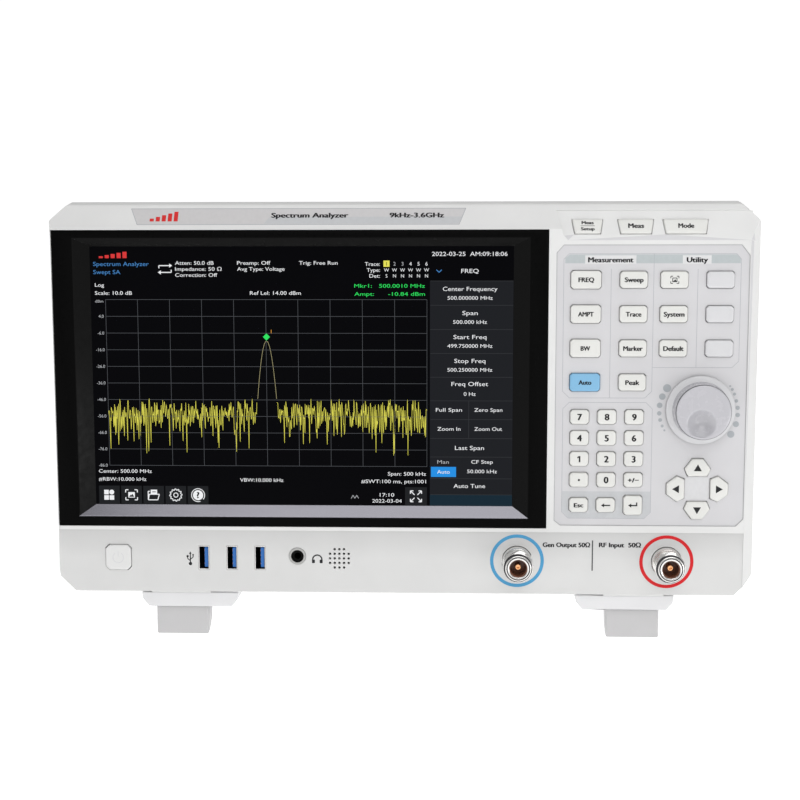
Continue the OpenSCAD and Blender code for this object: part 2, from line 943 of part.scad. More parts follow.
// Thin shell around a port's hollow, with a tongue where the port has one
module port(p) {
    floor_y = body_depth - p[4] + 1;
    middle_z = (p[2] + p[3]) / 2;
    difference() {
        block(p[0], p[1], body_depth - p[4], body_depth + 0.4, p[2], p[3]);
        block(p[0] + port_wall, p[1] - port_wall, floor_y, body_depth + 1,
            p[2] + port_wall, p[3] - port_wall);
    }
    if (p[5] > 0)
        panel_block((p[0] + p[1]) / 2, middle_z, p[5], p[6], floor_y - eps, floor_y + p[7]);
}

module rear_sockets() {
    color("Silver")
        standing() {
            for (x = bnc_x)
                bnc_socket(x);
            mains_inlet();
            for (p = PORTS)
                port(p);
        }
}

// ---- Casing ----

module cover_outline_prism(d, y0, y1) {
    front_prism(body_outline(cover_inset + d), y0, y1);
}

module tray_cut() {
    block(-tray_w / 2, tray_w / 2, tray_y0, tray_y1, cover_top - tray_depth, rim_z + 1);
}

module tray_walls() {
    block(-tray_w / 2 - wall, tray_w / 2 + wall, tray_y0 - wall, tray_y1 + wall,
        cover_top - tray_depth - wall, cover_top - 1);
}

// Upright slots that fill a circle in front of the fan
module fan_grille() {
    for (i = [-grille_bars:grille_bars]) {
        half_h = sqrt(grille_r * grille_r - pow(i * grille_pitch, 2));
        panel_block(fan_x + i * grille_pitch, fan_z, grille_slot, 2 * half_h,
            body_depth - wall - 1, body_depth + 1);
    }
}

module side_vents() {
    for (side = [-1, 1])
        for (i = [0:9])
            on_side(side)
                block(half_w - 6, half_w + 6, vent_y + i * vent_pitch, vent_y + i * vent_pitch + vent_slot,
                    vent_z0, vent_z1);
}

module rear_openings() {
    y0 = body_depth - wall - 1;
    y1 = body_depth + 1;
    for (x = bnc_x)
        y_rod(x, bnc_z, y0, y1, bnc_flange_r - 1 + rear_gap);
    panel_block(inlet_x, inlet_z, inlet_body[0] + 2 * rear_gap, inlet_body[1] + 2 * rear_gap, y0, y1);
    for (p = PORTS)
        block(p[0] - rear_gap, p[1] + rear_gap, y0, y1, p[2] - rear_gap, p[3] + rear_gap);
}

function screw_places() = [
    for (x = [-screw_x, screw_x]) for (z = SCREW_Z) [x, z]
];

module rear_cover() {
    color("White")
        standing()
            difference() {
                union() {
                    difference() {
                        cover_outline_prism(0, frame_depth + 0.1, body_depth);
                        cover_outline_prism(wall, frame_depth, body_depth - wall);
                    }
                    tray_walls();
                    for (p = screw_places())
                        y_rod(p[0], p[1], body_depth - boss_len, body_depth - 1, boss_r);
                }
                tray_cut();
                for (side = [-1, 1])
                    on_side(side)
                        x_rod(hinge_y, hinge_z, tray_w / 2 - 1, tray_w / 2 + wall + 1, hinge_r + fit_gap);
                fan_grille();
                side_vents();
                rear_openings();
                for (p = screw_places())
                    y_rod(p[0], p[1], body_depth - screw_len - 1, body_depth + 1, screw_r + 0.2);
            }
}

// Round-headed screws with a cross slot
module case_screws() {
    slot = [4, 2, 0.9];
    color("DarkGray")
        standing()
            for (p = screw_places())
                difference() {
                    union() {
                        y_rod(p[0], p[1], body_depth - screw_len, body_depth, screw_r);
                        y_rod(p[0], p[1], body_depth, body_depth + screw_head_t, screw_head_r);
                    }
                    for (a = [0, 90])
                        translate([p[0], body_depth + screw_head_t, p[1]])
                            rotate([0, a, 0])
                                cube(slot, center = true);
                }
}

module carry_handle() {
    reach_y = hinge_y + handle_reach;
    color("Gainsboro")
        standing() {
            x_rod(reach_y, hinge_z, -handle_w / 2, handle_w / 2, grip_d / 2 - 0.8);
            for (side = [-1, 1])
                on_side(side) {
                    block(handle_w / 2 - arm_t, handle_w / 2, hinge_y, reach_y,
                        hinge_z - arm_h / 2, hinge_z + arm_h / 2);
                    x_rod(hinge_y, hinge_z, handle_w / 2 - arm_t, handle_w / 2, arm_h / 2);
                    x_rod(hinge_y, hinge_z, handle_w / 2 - 1, tray_w / 2 + hinge_pin, hinge_r);
                }
        }
}

// ---- Feet and legs ----

module front_pad() {
    half = pad_w / 2;
    difference() {
        front_prism(moved([
            [-half, casing_z], [-half + pad_flare, pad_edge], [-half + pad_edge, 0],
            [half - pad_edge, 0], [half - pad_flare, pad_edge], [half, casing_z]
        ], pad_x, 0), pad_y0, pad_y1);
        block(leg_x - leg_w / 2 - leg_clear, leg_x + leg_w / 2 + leg_clear,
            leg_slot_y0, leg_pocket_y1, -1, casing_z + 1);
        x_rod(leg_pivot_y, leg_pivot_z, leg_x - leg_w / 2 - leg_pin_len - leg_clear,
            leg_x + leg_w / 2 + leg_pin_len + leg_clear, leg_pin_r + fit_gap);
    }
}

module feet() {
    color("LightGray")
        cut_at_floor()
            standing() {
                for (side = [-1, 1])
                    foot_side(side) {
                        front_pad();
                        block(pad_x - rear_foot_w / 2, pad_x + rear_foot_w / 2,
                            rear_foot_y, rear_foot_y + rear_foot_d, 0, casing_z + cover_inset);
                    }
            }
}

// Side outline of an open leg about its pivot, with a rounded back
function leg_points() = concat(
    [[-leg_front, 2], [-leg_front, -leg_len], [-leg_front + leg_toe, -leg_len]],
    [for (a = [-75:15:0]) [
        -leg_front + leg_toe + (leg_back + leg_front - leg_toe) * cos(a),
        -4 + (leg_len - 6) * sin(a)
    ]],
    [[leg_back, -1], [2, 3.4], [-1.6, 3.4]]
);

module leg(side) {
    cut_at_floor()
        standing()
            foot_side(side) {
                translate([0, leg_pivot_y, leg_pivot_z])
                    side_prism(leg_points(), leg_x - leg_w / 2, leg_x + leg_w / 2);
                x_rod(leg_pivot_y, leg_pivot_z, leg_x - leg_w / 2 - leg_pin_len,
                    leg_x + leg_w / 2 + leg_pin_len, leg_pin_r);
            }
}

// ---- Inside ----

// Sheet-metal floor and upright with cable openings and board stand-offs
module chassis() {
    half = half_w - chassis_inset;
    color("LightSlateGray")
        standing() {
            block(-half, half, chassis_y, body_depth - 20, chassis_z, chassis_z + chassis_t);
            difference() {
                block(-half, half, chassis_y, chassis_y + chassis_t, chassis_z, chassis_top);
                block(-60, -20, chassis_y - 1, chassis_y + 3, 160, 190);
                block(90, 150, chassis_y - 1, chassis_y + 3, 30, 60);
            }
            for (x = [-30, 168])
                for (z = [60, 180])
                    y_rod(x, z, chassis_y + chassis_t, main_board_y, standoff_r);
        }
}

// Board with a finned heat sink, a connector and a processor
module main_board() {
    back = main_board_y + board_t;
    sink_t = 4;
    color("DarkGreen")
        standing() {
            block(-40, 174, main_board_y, back, 52, 188);
            block(-20, 10, back, back + sink_t, 150, 180);
            for (i = [0:5])
                translate([-20 + i * fin_pitch, back + sink_t, 150])
                    cube([fin_t, 10, 30]);
            block(-34, -26, back, back + 8, 70, 130);
            block(20, 60, back, back + 3, 156, 176);
        }
}

// Open-backed cans over the radio circuits: x from and to, z from and to
module shield_cans() {
    back = main_board_y + board_t;
    color("Silver")
        standing()
            for (can = [[-10, 52, 60, 142], [56, 112, 60, 142], [116, 168, 60, 112]])
                difference() {
                    block(can[0], can[1], back, back + can_h, can[2], can[3]);
                    block(can[0] + can_wall, can[1] - can_wall, back - 1, back + can_h - can_wall,
                        can[2] + can_wall, can[3] - can_wall);
                }
}

// Board with a transformer, a heat sink, capacitors and stand-offs
module power_supply() {
    back = supply_y + board_t;
    color("Peru")
        standing() {
            block(-172, -60, supply_y, back, 70, 186);
            block(-150, -112, back, supply_y + 34, 100, 138);
            block(-100, -96, back, supply_y + 30, 84, 170);
            for (z = [152, 172])
                y_rod(-140, z, back, supply_y + 32, 9);
            for (z = [92, 116, 140])
                y_rod(-80, z, back, supply_y + 22, 6);
            for (x = [-160, -70])
                y_rod(x, 78, chassis_y + chassis_t, supply_y, standoff_r);
        }
}

// Square frame with a bore for the blades and three arms that hold the rotor's bearing
module fan_frame() {
    arm = [fan_bore_r - fan_hub_r + 2, 2, 3];
    color([0.15, 0.15, 0.16])
        standing() {
            difference() {
                panel_block(fan_x, fan_z, fan_w, fan_w, fan_y, fan_y + fan_t);
                y_rod(fan_x, fan_z, fan_y - 1, fan_y + fan_t + 1, fan_bore_r);
                for (i = [-0.5, 0.5])
                    for (j = [-0.5, 0.5])
                        y_rod(fan_x + i * fan_screw_pitch, fan_z + j * fan_screw_pitch,
                            fan_y - 1, fan_y + fan_t + 1, fan_screw_r);
            }
            difference() {
                union() {
                    y_rod(fan_x, fan_z, fan_y, fan_y + arm[1], fan_hub_r);
                    for (a = [30:120:270])
                        translate([fan_x, fan_y, fan_z])
                            rotate([0, a, 0])
                                translate([fan_hub_r - 1, 0, -arm[2] / 2])
                                    cube(arm);
                }
                y_rod(fan_x, fan_z, fan_y - 1, fan_y + arm[1] + 1, fan_pin_r + fit_gap);
            }
        }
}

// Hub and its pin with pitched blades
module fan_rotor() {
    blade = [15.4, 1.4, 14];
    blade_pitch = 38;
    color([0.1, 0.1, 0.11])
        standing() {
            y_rod(fan_x, fan_z, fan_y + 2.4, fan_y + fan_t - 0.6, fan_hub_r);
            y_rod(fan_x, fan_z, fan_y + 0.4, fan_y + 2.5, fan_pin_r);
            for (i = [0:fan_blades - 1])
                translate([fan_x, fan_y + fan_t / 2 + 0.8, fan_z])
                    rotate([0, i * 360 / fan_blades, 0])
                        translate([fan_hub_r + 6.6, 0, 0])
                            rotate([blade_pitch, 0, 0])
                                cube(blade, center = true);
        }
}

// ---- The pieces ----

front_frame();
screen_surround();
touch_glass();
lcd_panel();
keypad_mat();
key_board();
encoder();
rear_cover();
chassis();
main_board();
shield_cans();
power_supply();
fan_frame();
rf_connectors();
front_sockets();
rear_sockets();
case_screws();
feet();
power_button();
tuning_knob();
carry_handle();
color("LightGray") leg(-1);  // leg_left
color("LightGray") leg(1);  // leg_right
fan_rotor();
for (k = TOP_KEYS)
    color("Ivory") top_key(k[1], k[2]);
for (k = PANEL_KEYS)
    color(k[0] == "key_auto" ? "LightSkyBlue" : "Ivory") panel_key(k[1], k[2], k[3], k[4]);
for (k = ARROW_KEYS)
    color("Ivory") arrow_key(k[1]);
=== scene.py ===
"""Looks of the bench spectrum analyzer: moulded casing, keys, knob, sockets, screen and printing."""

import json
import math
import random

import bmesh
import bpy
import numpy as np
from mathutils import Matrix, Vector


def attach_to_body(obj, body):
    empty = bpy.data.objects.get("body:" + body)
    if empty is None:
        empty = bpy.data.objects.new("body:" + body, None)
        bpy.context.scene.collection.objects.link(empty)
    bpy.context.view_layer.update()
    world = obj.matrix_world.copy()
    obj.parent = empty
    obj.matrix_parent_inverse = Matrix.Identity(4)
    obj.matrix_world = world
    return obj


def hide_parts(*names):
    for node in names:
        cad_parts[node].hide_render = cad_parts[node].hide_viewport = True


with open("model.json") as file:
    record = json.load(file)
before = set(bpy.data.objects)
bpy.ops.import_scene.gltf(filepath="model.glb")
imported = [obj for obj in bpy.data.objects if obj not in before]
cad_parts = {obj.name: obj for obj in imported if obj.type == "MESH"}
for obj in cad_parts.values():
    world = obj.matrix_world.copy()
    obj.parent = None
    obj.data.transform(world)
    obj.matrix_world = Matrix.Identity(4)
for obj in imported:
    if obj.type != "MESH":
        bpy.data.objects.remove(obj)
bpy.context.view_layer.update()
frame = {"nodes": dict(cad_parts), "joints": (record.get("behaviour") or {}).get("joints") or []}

MM = 0.001
MICROMETRE = 0.000001
CASING = "casing"
CASING_Z = 8.0
POCKET_Z = 199.5

# ---- The body's own coordinates, in millimetres: x right, y inwards from the panel, z up the panel ----


def joint_axis(name):
    """Direction of a joint's axis in the row frame."""
    return next(Vector(j["axis"]) for j in frame["joints"] if j["name"] == name)


def lean(axis):
    """Angle by which an inward axis points below the horizon."""
    return math.atan2(-axis.z, axis.y)


def turn_back(angle):
    return Matrix.Rotation(-angle, 4, "X")


def node_points(node, place):
    """A CAD node's corners in the coordinates of a place, in millimetres."""
    back = np.array(place.inverted())
    mesh = frame["nodes"][node].data
    flat = np.empty(len(mesh.vertices) * 3)
    mesh.vertices.foreach_get("co", flat)
    points = flat.reshape(-1, 3)
    return points @ back[:3, :3].T + back[:3, 3]


def body_place():
    """Matrix from body millimetres to the row frame."""
    turn = turn_back(lean(joint_axis("key_freq_press"))) @ Matrix.Scale(MM, 4)
    low = node_points("front_frame", turn).min(0)
    return turn @ Matrix.Translation((0, low[1], low[2] - CASING_Z))


BODY = body_place()
POCKET = (
    BODY
    @ Matrix.Translation((0, 0, POCKET_Z))
    @ turn_back(lean(joint_axis("key_meas_press")) - lean(joint_axis("key_freq_press")))
)


def node_box(node, place=BODY):
    """Lowest and highest corner of a CAD node in body millimetres."""
    points = node_points(node, place)
    return points.min(0), points.max(0)


# ---- Materials ----


def connect(tree, node, inputs):
    """Links each input to the output given for it, or sets it to the value given."""
    for name, value in inputs.items():
        if isinstance(value, bpy.types.NodeSocket):
            tree.links.new(value, node.inputs[name])
        else:
            node.inputs[name].default_value = value


def add_node(tree, kind, inputs, **settings):
    node = tree.nodes.new(kind)
    for name, value in settings.items():
        setattr(node, name, value)
    connect(tree, node, inputs)
    return node


def surface(material, inputs):
    """Sets or links inputs of a material's own shader."""
    tree = material.node_tree
    connect(tree, tree.nodes["Principled BSDF"], inputs)


def object_space(tree):
    return add_node(tree, "ShaderNodeTexCoord", {}).outputs["Object"]


def add_noise(tree, scale, detail=4.0, stretch=(1, 1, 1)):
    """Noise in object space, in features per metre."""
    mapping = add_node(tree, "ShaderNodeMapping", {"Scale": stretch, "Vector": object_space(tree)})
    noise = add_node(tree, "ShaderNodeTexNoise", {
        "Scale": scale, "Detail": detail, "Vector": mapping.outputs["Vector"],
    })
    return noise.outputs["Fac"]


def spread(tree, source, low, high, source_low=0.3, source_high=0.7):
    """Maps a range of a source, by default the middle of a noise, to a range of values."""
    ramp = add_node(tree, "ShaderNodeMapRange", {
        "From Min": source_low, "From Max": source_high, "To Min": low, "To Max": high, "Value": source,
    })
    return ramp.outputs["Result"]


def new_material(name, colour, roughness, metallic=0.0, coat=0.0, specular=0.5):
    material = bpy.data.materials.new(name)
    material.use_nodes = True
    material.diffuse_color = (*colour, 1)
    surface(material, {
        "Base Color": (*colour, 1), "Roughness": roughness, "Metallic": metallic, "Coat Weight": coat,
        "Coat Roughness": 0.05, "Specular IOR Level": specular,
    })
    return material


def vary_roughness(material, low, high, scale, stretch=(1, 1, 1)):
    tree = material.node_tree
    surface(material, {"Roughness": spread(tree, add_noise(tree, scale, stretch=stretch), low, high)})


def vary_colour(material, first, second, scale):
    tree = material.node_tree
    share = spread(tree, add_noise(tree, scale), 0, 1)
    mix = add_node(tree, "ShaderNodeMix", {"A": (*first, 1), "B": (*second, 1), "Factor": share},
                   data_type="RGBA")
    surface(material, {"Base Color": mix.outputs["Result"]})


def add_grain(material, scale, depth, detail=3.0, stretch=(1, 1, 1)):
    """Fine surface relief, its depth in metres."""
    tree = material.node_tree
    height = add_noise(tree, scale, detail, stretch)
    bump = add_node(tree, "ShaderNodeBump", {"Distance": depth, "Strength": 1.0, "Height": height})
    surface(material, {"Normal": bump.outputs["Normal"]})


def multiply_colour(material, share):
    """Multiplies a material's colour by a value."""
    tree = material.node_tree
    colour = tree.nodes["Principled BSDF"].inputs["Base Color"].links[0].from_socket
    mix = add_node(tree, "ShaderNodeMix", {"Factor": 1.0, "A": colour, "B": share},
                   data_type="RGBA", blend_type="MULTIPLY")
    surface(material, {"Base Color": mix.outputs["Result"]})


def darken_hollows(material, distance, least):
    """Deepens the colour where nearby surfaces shut out the light."""
    tree = material.node_tree
    near = add_node(tree, "ShaderNodeAmbientOcclusion", {"Distance": distance}, samples=8)
    multiply_colour(material, spread(tree, near.outputs["AO"], least, 1.0, 0.45, 0.95))


def darken_upwards(material, start, end, least):
    """Paints shade into the colour between two heights on the panel, darker towards the upper one, as under
    a lip.
    """
    tree = material.node_tree
    split = add_node(tree, "ShaderNodeSeparateXYZ", {"Vector": object_space(tree)})
    low, high = ((BODY @ Vector((0, 0, z))).z for z in (start, end))
    multiply_colour(material, spread(tree, split.outputs["Z"], 1.0, least, low, high))


def plastic(name, colour, roughness=0.42, grain=20, coat=0.0, specular=0.5):
    """Moulded plastic: spark-eroded grain, in micrometres, faint colour clouding, uneven sheen."""
    material = new_material(name, colour, roughness, coat=coat, specular=specular)
    vary_colour(material, colour, tuple(c * 0.96 for c in colour), 45)
    vary_roughness(material, roughness - 0.06, roughness + 0.08, 320)
    add_grain(material, 2600, grain * MICROMETRE)
    return material


def metal(name, colour, roughness, stretch=(1, 1, 1)):
    """Plated or machined metal with fine tool marks."""
    material = new_material(name, colour, roughness, metallic=1.0)
    vary_roughness(material, roughness * 0.7, roughness * 1.5, 900, stretch)
    add_grain(material, 1800, 4 * MICROMETRE, 2.0, stretch)
    return material


def ink(name, colour, roughness=0.5):
    """Screen-printed ink with slight unevenness."""
    material = new_material(name, colour, roughness, specular=0.25)
    vary_colour(material, colour, tuple(min(1, c * 1.04 + 0.003) for c in colour), 500)
    vary_roughness(material, roughness - 0.08, roughness + 0.08, 900)
    return material


def glow(name, colour):
    """Lit part of the display: light through a faint pixel structure."""
    material = new_material(name, tuple(c * 0.02 for c in colour), 0.3, specular=0.03)
    tree = material.node_tree
    strength = spread(tree, add_noise(tree, 4000, 1.0), 0.94, 1.06)
    surface(material, {"Emission Color": (*colour, 1), "Emission Strength": strength})
    return material


WHITE = plastic("housing_white", (0.71, 0.71, 0.705))
PANEL = plastic("panel_cool_grey", (0.595, 0.59, 0.605), 0.40)
STRIP = plastic("strip_grey", (0.645, 0.645, 0.64), 0.40)
# Painted shade along the top of the socket strip, under the lip above it.
darken_upwards(STRIP, 28, 43.3, 0.85)
BLACK_GLOSS = plastic("surround_black", (0.003, 0.003, 0.003), 0.2, 3, specular=0.07)
# Lower side of the black surround's slope: the same black plastic, made lighter and tinted lilac in its
# reflection as painted sheen. The reflection itself is rendered.
LEDGE_SHEEN = new_material("surround_ledge_sheen", (0.03, 0.03, 0.04), 0.2)
vary_roughness(LEDGE_SHEEN, 0.18, 0.22, 60, (1, 6, 6))
surface(LEDGE_SHEEN, {"IOR": 3.0, "Specular Tint": (0.93, 0.91, 1.0, 1)})
KEY_CREAM = plastic("key_cream", (0.70, 0.70, 0.675), 0.36, 8)
KEY_BLUE = plastic("key_blue", (0.20, 0.44, 0.66), 0.36, 8)
KEY_GREY = plastic("key_grey", (0.62, 0.62, 0.635), 0.38, 8)
KNOB_GREY = plastic("knob_grey", (0.475, 0.47, 0.50), 0.24, 6, coat=0.5)
# Painted shade in the knob's hollows, deepest in its finger dimple.
darken_hollows(KNOB_GREY, 0.009, 0.58)
# Dark grey painted as shade on the rounded edge of the knob's grip, standing in for a groove.
KNOB_EDGE_SHADE = plastic("knob_edge_shade", (0.14, 0.14, 0.15), 0.4)
FOOT_GREY = plastic("foot_grey", (0.72, 0.72, 0.73), 0.5)
LEG_GREY = plastic("leg_grey", (0.53, 0.525, 0.53), 0.5)
DARK_PLASTIC = plastic("dark_plastic", (0.02, 0.02, 0.022), 0.5)
USB_BLUE = plastic("usb_blue", (0.012, 0.15, 0.52), 0.35, 5)
RUBBER = plastic("rubber_grey", (0.55, 0.55, 0.56), 0.75, 30)
BOARD = plastic("circuit_board_green", (0.015, 0.12, 0.045), 0.4, 10)
SUPPLY = plastic("supply_brown", (0.20, 0.13, 0.07), 0.5)
BLACK_FLAT = plastic("surround_black_flat", (0.002, 0.002, 0.002), 0.3, 3, specular=0.03)
BLACK_HOLE = plastic("opening_black", (0.002, 0.002, 0.002), 0.6, specular=0.1)
GLASS_BLACK = plastic("touch_glass_black", (0.0008, 0.0008, 0.0015), 0.15, 1, specular=0.03)
POWER_WHITE = plastic("power_white", (0.70, 0.70, 0.695), 0.36, 8)
JACK_GREY = plastic("jack_grey", (0.40, 0.40, 0.39), 0.3, 5)
INSULATOR = plastic("insulator_white", (0.62, 0.60, 0.55), 0.4, 5)
NICKEL = metal("nickel_plate", (0.80, 0.79, 0.77), 0.16)
GOLD = metal("gold_plate", (0.85, 0.45, 0.22), 0.22)
STEEL = metal("zinc_plate", (0.66, 0.67, 0.68), 0.34)
SHEET = metal("sheet_steel", (0.62, 0.63, 0.65), 0.38, stretch=(1, 12, 1))
BORE = plastic("bore_brown", (0.16, 0.055, 0.025), 0.3)
# Dark nickel for painted shade and painted dark reflection on the sockets' rims.
NICKEL_SHADE = metal("nickel_shadow", (0.07, 0.07, 0.075), 0.3)
INK_BLACK = ink("ink_black", (0.012, 0.012, 0.014))
INK_GREY = ink("ink_grey", (0.085, 0.087, 0.09))
# Grey ink of the printed lines, also used as painted shade round the name plate.
LINE_INK_AND_PLATE_SHADE = ink("ink_line_and_plate_shade_grey", (0.36, 0.37, 0.40))
INK_BAND = ink("ink_band_blue_grey", (0.43, 0.465, 0.475))
INK_BAND_DARK = ink("ink_band_grey", (0.50, 0.51, 0.525))
INK_PATCH = ink("ink_patch_white", (0.64, 0.64, 0.645))
INK_PLATE = ink("ink_plate", (0.55, 0.54, 0.545))
INK_FAINT = ink("ink_faint", (0.62, 0.62, 0.63))
INK_EDGE = ink("ink_edge", (0.40, 0.40, 0.41))
INK_DOT = ink("ink_dot", (0.36, 0.38, 0.40))
RING_BLUE = ink("ring_blue", (0.065, 0.30, 0.53), 0.35)
RING_RED = ink("ring_red", (0.60, 0.007, 0.012), 0.35)
INK_RED = ink("ink_red", (0.60, 0.02, 0.02))
LIT_WHITE = glow("lit_white", (0.85, 0.86, 0.88))
LIT_DIM = glow("lit_dim", (0.42, 0.43, 0.45))
LIT_BLUE = glow("lit_blue", (0.06, 0.22, 0.52))
LIT_GREEN = glow("lit_green", (0.03, 0.75, 0.12))
LIT_YELLOW = glow("lit_yellow", (0.76, 0.72, 0.10))
LIT_SIGNAL = glow("lit_signal", (0.42, 0.38, 0.20))
LIT_GRID = glow("lit_grid", (0.085, 0.09, 0.10))
LIT_SEAM = glow("lit_seam", (0.036, 0.038, 0.042))
LIT_ORANGE = glow("lit_orange", (0.80, 0.35, 0.05))
LIT_MENU = glow("lit_menu", (0.013, 0.014, 0.017))
LIT_MENU_BLUE = glow("lit_menu_blue", (0.008, 0.022, 0.035))
LIT_TILE = glow("lit_tile", (0.014, 0.015, 0.017))
LIT_BOX = glow("lit_box", (0.02, 0.27, 0.75))


# ---- Meshes ----

PRINT_T = 0.03
FILM_T = 0.012
KEY_BOLD = 0.1
BOLD_STRIKES = ((-0.5, 0.2), (0, -0.2), (0.5, 0.2))
ARC_STEPS = 20


class Shape:
    """Collects corners and faces of one piece, in millimetres of a place.

    Faces take the material in use. Figures are thin solids that stand in front of the plane y = level.
    """

    def __init__(self, *materials, level=0.0):
        self.points = []
        self.faces = []
        self.paints = []
        self.materials = list(materials)
        self.paint = 0
        self.level = level

    def use(self, material):
        if material not in self.materials:
            self.materials.append(material)
        self.paint = self.materials.index(material)
        return self

    def add(self, points, faces):
        start = len(self.points)
        self.points += [tuple(p) for p in points]
        self.faces += [[start + i for i in face] for face in faces]
        self.paints += [self.paint] * len(faces)

    def loops(self, loops, cap_first=False, cap_last=True):
        """Skins a row of closed loops that all have the same number of points."""
        count = len(loops[0])
        faces = []
        for row in range(len(loops) - 1):
            for i in range(count):
                j = (i + 1) % count
                a, b = row * count, (row + 1) * count
                faces.append((a + i, a + j, b + j, b + i))
        if cap_first:
            faces.append(list(range(count))[::-1])
        if cap_last:
            faces.append([(len(loops) - 1) * count + i for i in range(count)])
        self.add([p for loop in loops for p in loop], faces)

    def paint_rows(self, rows, count, paint):
        """Repaints rows of the loops added first, which have count faces each."""
        for row in rows:
            self.paints[row * count:(row + 1) * count] = [paint] * count

    def flat(self, outline, thick=PRINT_T, lift=0.0):
        """Figure of a convex outline."""
        y = self.level - lift
        self.loops([[(x, d, z) for x, z in outline] for d in (y, y - thick)], cap_first=True)

    def box(self, x0, x1, z0, z1, thick=PRINT_T):
        self.flat(rectangle(x0, x1, z0, z1), thick)

    def band(self, outer, inner):
        """Figure between two outlines with the same number of points."""
        top = self.level - PRINT_T
        rows = [(outer, self.level), (outer, top), (inner, top), (inner, self.level), (outer, self.level)]
        self.loops([[(x, d, z) for x, z in row] for row, d in rows], cap_last=False)

    def border(self, points, width):
        self.band(inset(points, -width / 2), inset(points, width / 2))

    def path(self, points, width):
        """Lines of a width from point to point."""
        for start, end in zip(points, points[1:]):
            length = math.dist(start, end)
            nx = -(end[1] - start[1]) / length * width / 2
            nz = (end[0] - start[0]) / length * width / 2
            self.flat([
                (start[0] - nx, start[1] - nz), (end[0] - nx, end[1] - nz),
                (end[0] + nx, end[1] + nz), (start[0] + nx, start[1] + nz),
            ])

    def arc(self, x, z, radius, start, end, width):
        """Line along an arc between two angles in degrees."""
        angles = [math.radians(start + (end - start) * i / ARC_STEPS) for i in range(ARC_STEPS + 1)]
        self.path([(x + radius * math.cos(a), z + radius * math.sin(a)) for a in angles], width)

    def text(self, text, x, z, height, width=None, align="centre", bold=0.0, lift=0.0, mirror=False):
        """Text whose capitals have a height, centred on z, fitted to a width where one is given.

        Bold text is struck three times, side by side. Mirrored text faces the other way.
        """
        points, faces, box = glyph_mesh(text)
        low, high = glyph_mesh("H")[2][2:]
        scale = height / (high - low)
        stretch = width / (box[1] - box[0]) if width else scale
        anchor = {"left": box[0], "centre": (box[0] + box[1]) / 2, "right": box[1]}[align]
        side = -1 if mirror else 1
        for across, rise in BOLD_STRIKES if bold else ((0, 0),):
            self.add([
                (
                    x + side * (px - anchor + across * bold) * stretch,
                    self.level - lift - (side * PRINT_T if pz > 0 else 0),
                    z + (py - (low + high) / 2 + rise * bold) * scale,
                )
                for px, py, pz in points
            ], faces)

    def build(self, name, body=CASING, place=BODY, smooth=False, replaces=(), slot=None):
        mesh = bpy.data.meshes.new(name)
        mesh.from_pydata(self.points, [], self.faces)
        for material in self.materials:
            mesh.materials.append(material)
        mesh.polygons.foreach_set("material_index", self.paints)
        mesh.transform(place)
        bm = bmesh.new()
        bm.from_mesh(mesh)
        bmesh.ops.remove_doubles(bm, verts=bm.verts, dist=0.000001)
        bmesh.ops.recalc_face_normals(bm, faces=bm.faces)
        bm.to_mesh(mesh)
        bm.free()
        piece = put(name, mesh)
        mesh.shade_flat()
        if smooth:
            mesh.shade_smooth()
            soften(piece)
        return attach(piece, body, replaces)


GLYPHS = {}


def glyph_mesh(text):
    """Corners, faces and box of one run of lettering at size 1."""
    if text not in GLYPHS:
        curve = bpy.data.curves.new("lettering", "FONT")
        curve.body = text
        curve.extrude = 0.01
        curve.resolution_u = 3
        holder = bpy.data.objects.new("lettering", curve)
        mesh = holder.to_mesh()
        points = [tuple(v.co) for v in mesh.vertices]
        faces = [tuple(p.vertices) for p in mesh.polygons]
        holder.to_mesh_clear()
        bpy.data.objects.remove(holder)
        bpy.data.curves.remove(curve)
        xs = [p[0] for p in points]
        ys = [p[1] for p in points]
        GLYPHS[text] = points, faces, (min(xs), max(xs), min(ys), max(ys))
    return GLYPHS[text]


def attach(piece, body, replaces=()):
    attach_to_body(piece, body)
    if replaces:
        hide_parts(*replaces)
    return piece


def put(name, data):
    """New object in the scene."""
    piece = bpy.data.objects.new(name, data)
    bpy.context.scene.collection.objects.link(piece)
    return piece


def soften(piece, angle=35):
    """Keeps edges above an angle crisp on a smooth-shaded piece."""
    bm = bmesh.new()
    bm.from_mesh(piece.data)
    limit = math.radians(angle)
    for edge in bm.edges:
        edge.smooth = len(edge.link_faces) == 2 and edge.calc_face_angle(0) < limit
    bm.to_mesh(piece.data)
    bm.free()


def apply_modifiers(piece):
    graph = bpy.context.evaluated_depsgraph_get()
    graph.update()
    mesh = bpy.data.meshes.new_from_object(piece.evaluated_get(graph))
    piece.modifiers.clear()
    old = piece.data
    piece.data = mesh
    bpy.data.meshes.remove(old)


def angles_of(count):
    return [2 * math.pi * i / count for i in range(count)]


def circle(x, z, radius, count=32, start=0.0):
    return [(x + radius * math.cos(start + a), z + radius * math.sin(start + a)) for a in angles_of(count)]


def rings(profile, x, z, segments):
    """Loops of a profile of (radius, y) turned about the y direction."""
    return [[(px, y, pz) for px, pz in circle(x, z, radius, segments)] for radius, y in profile]


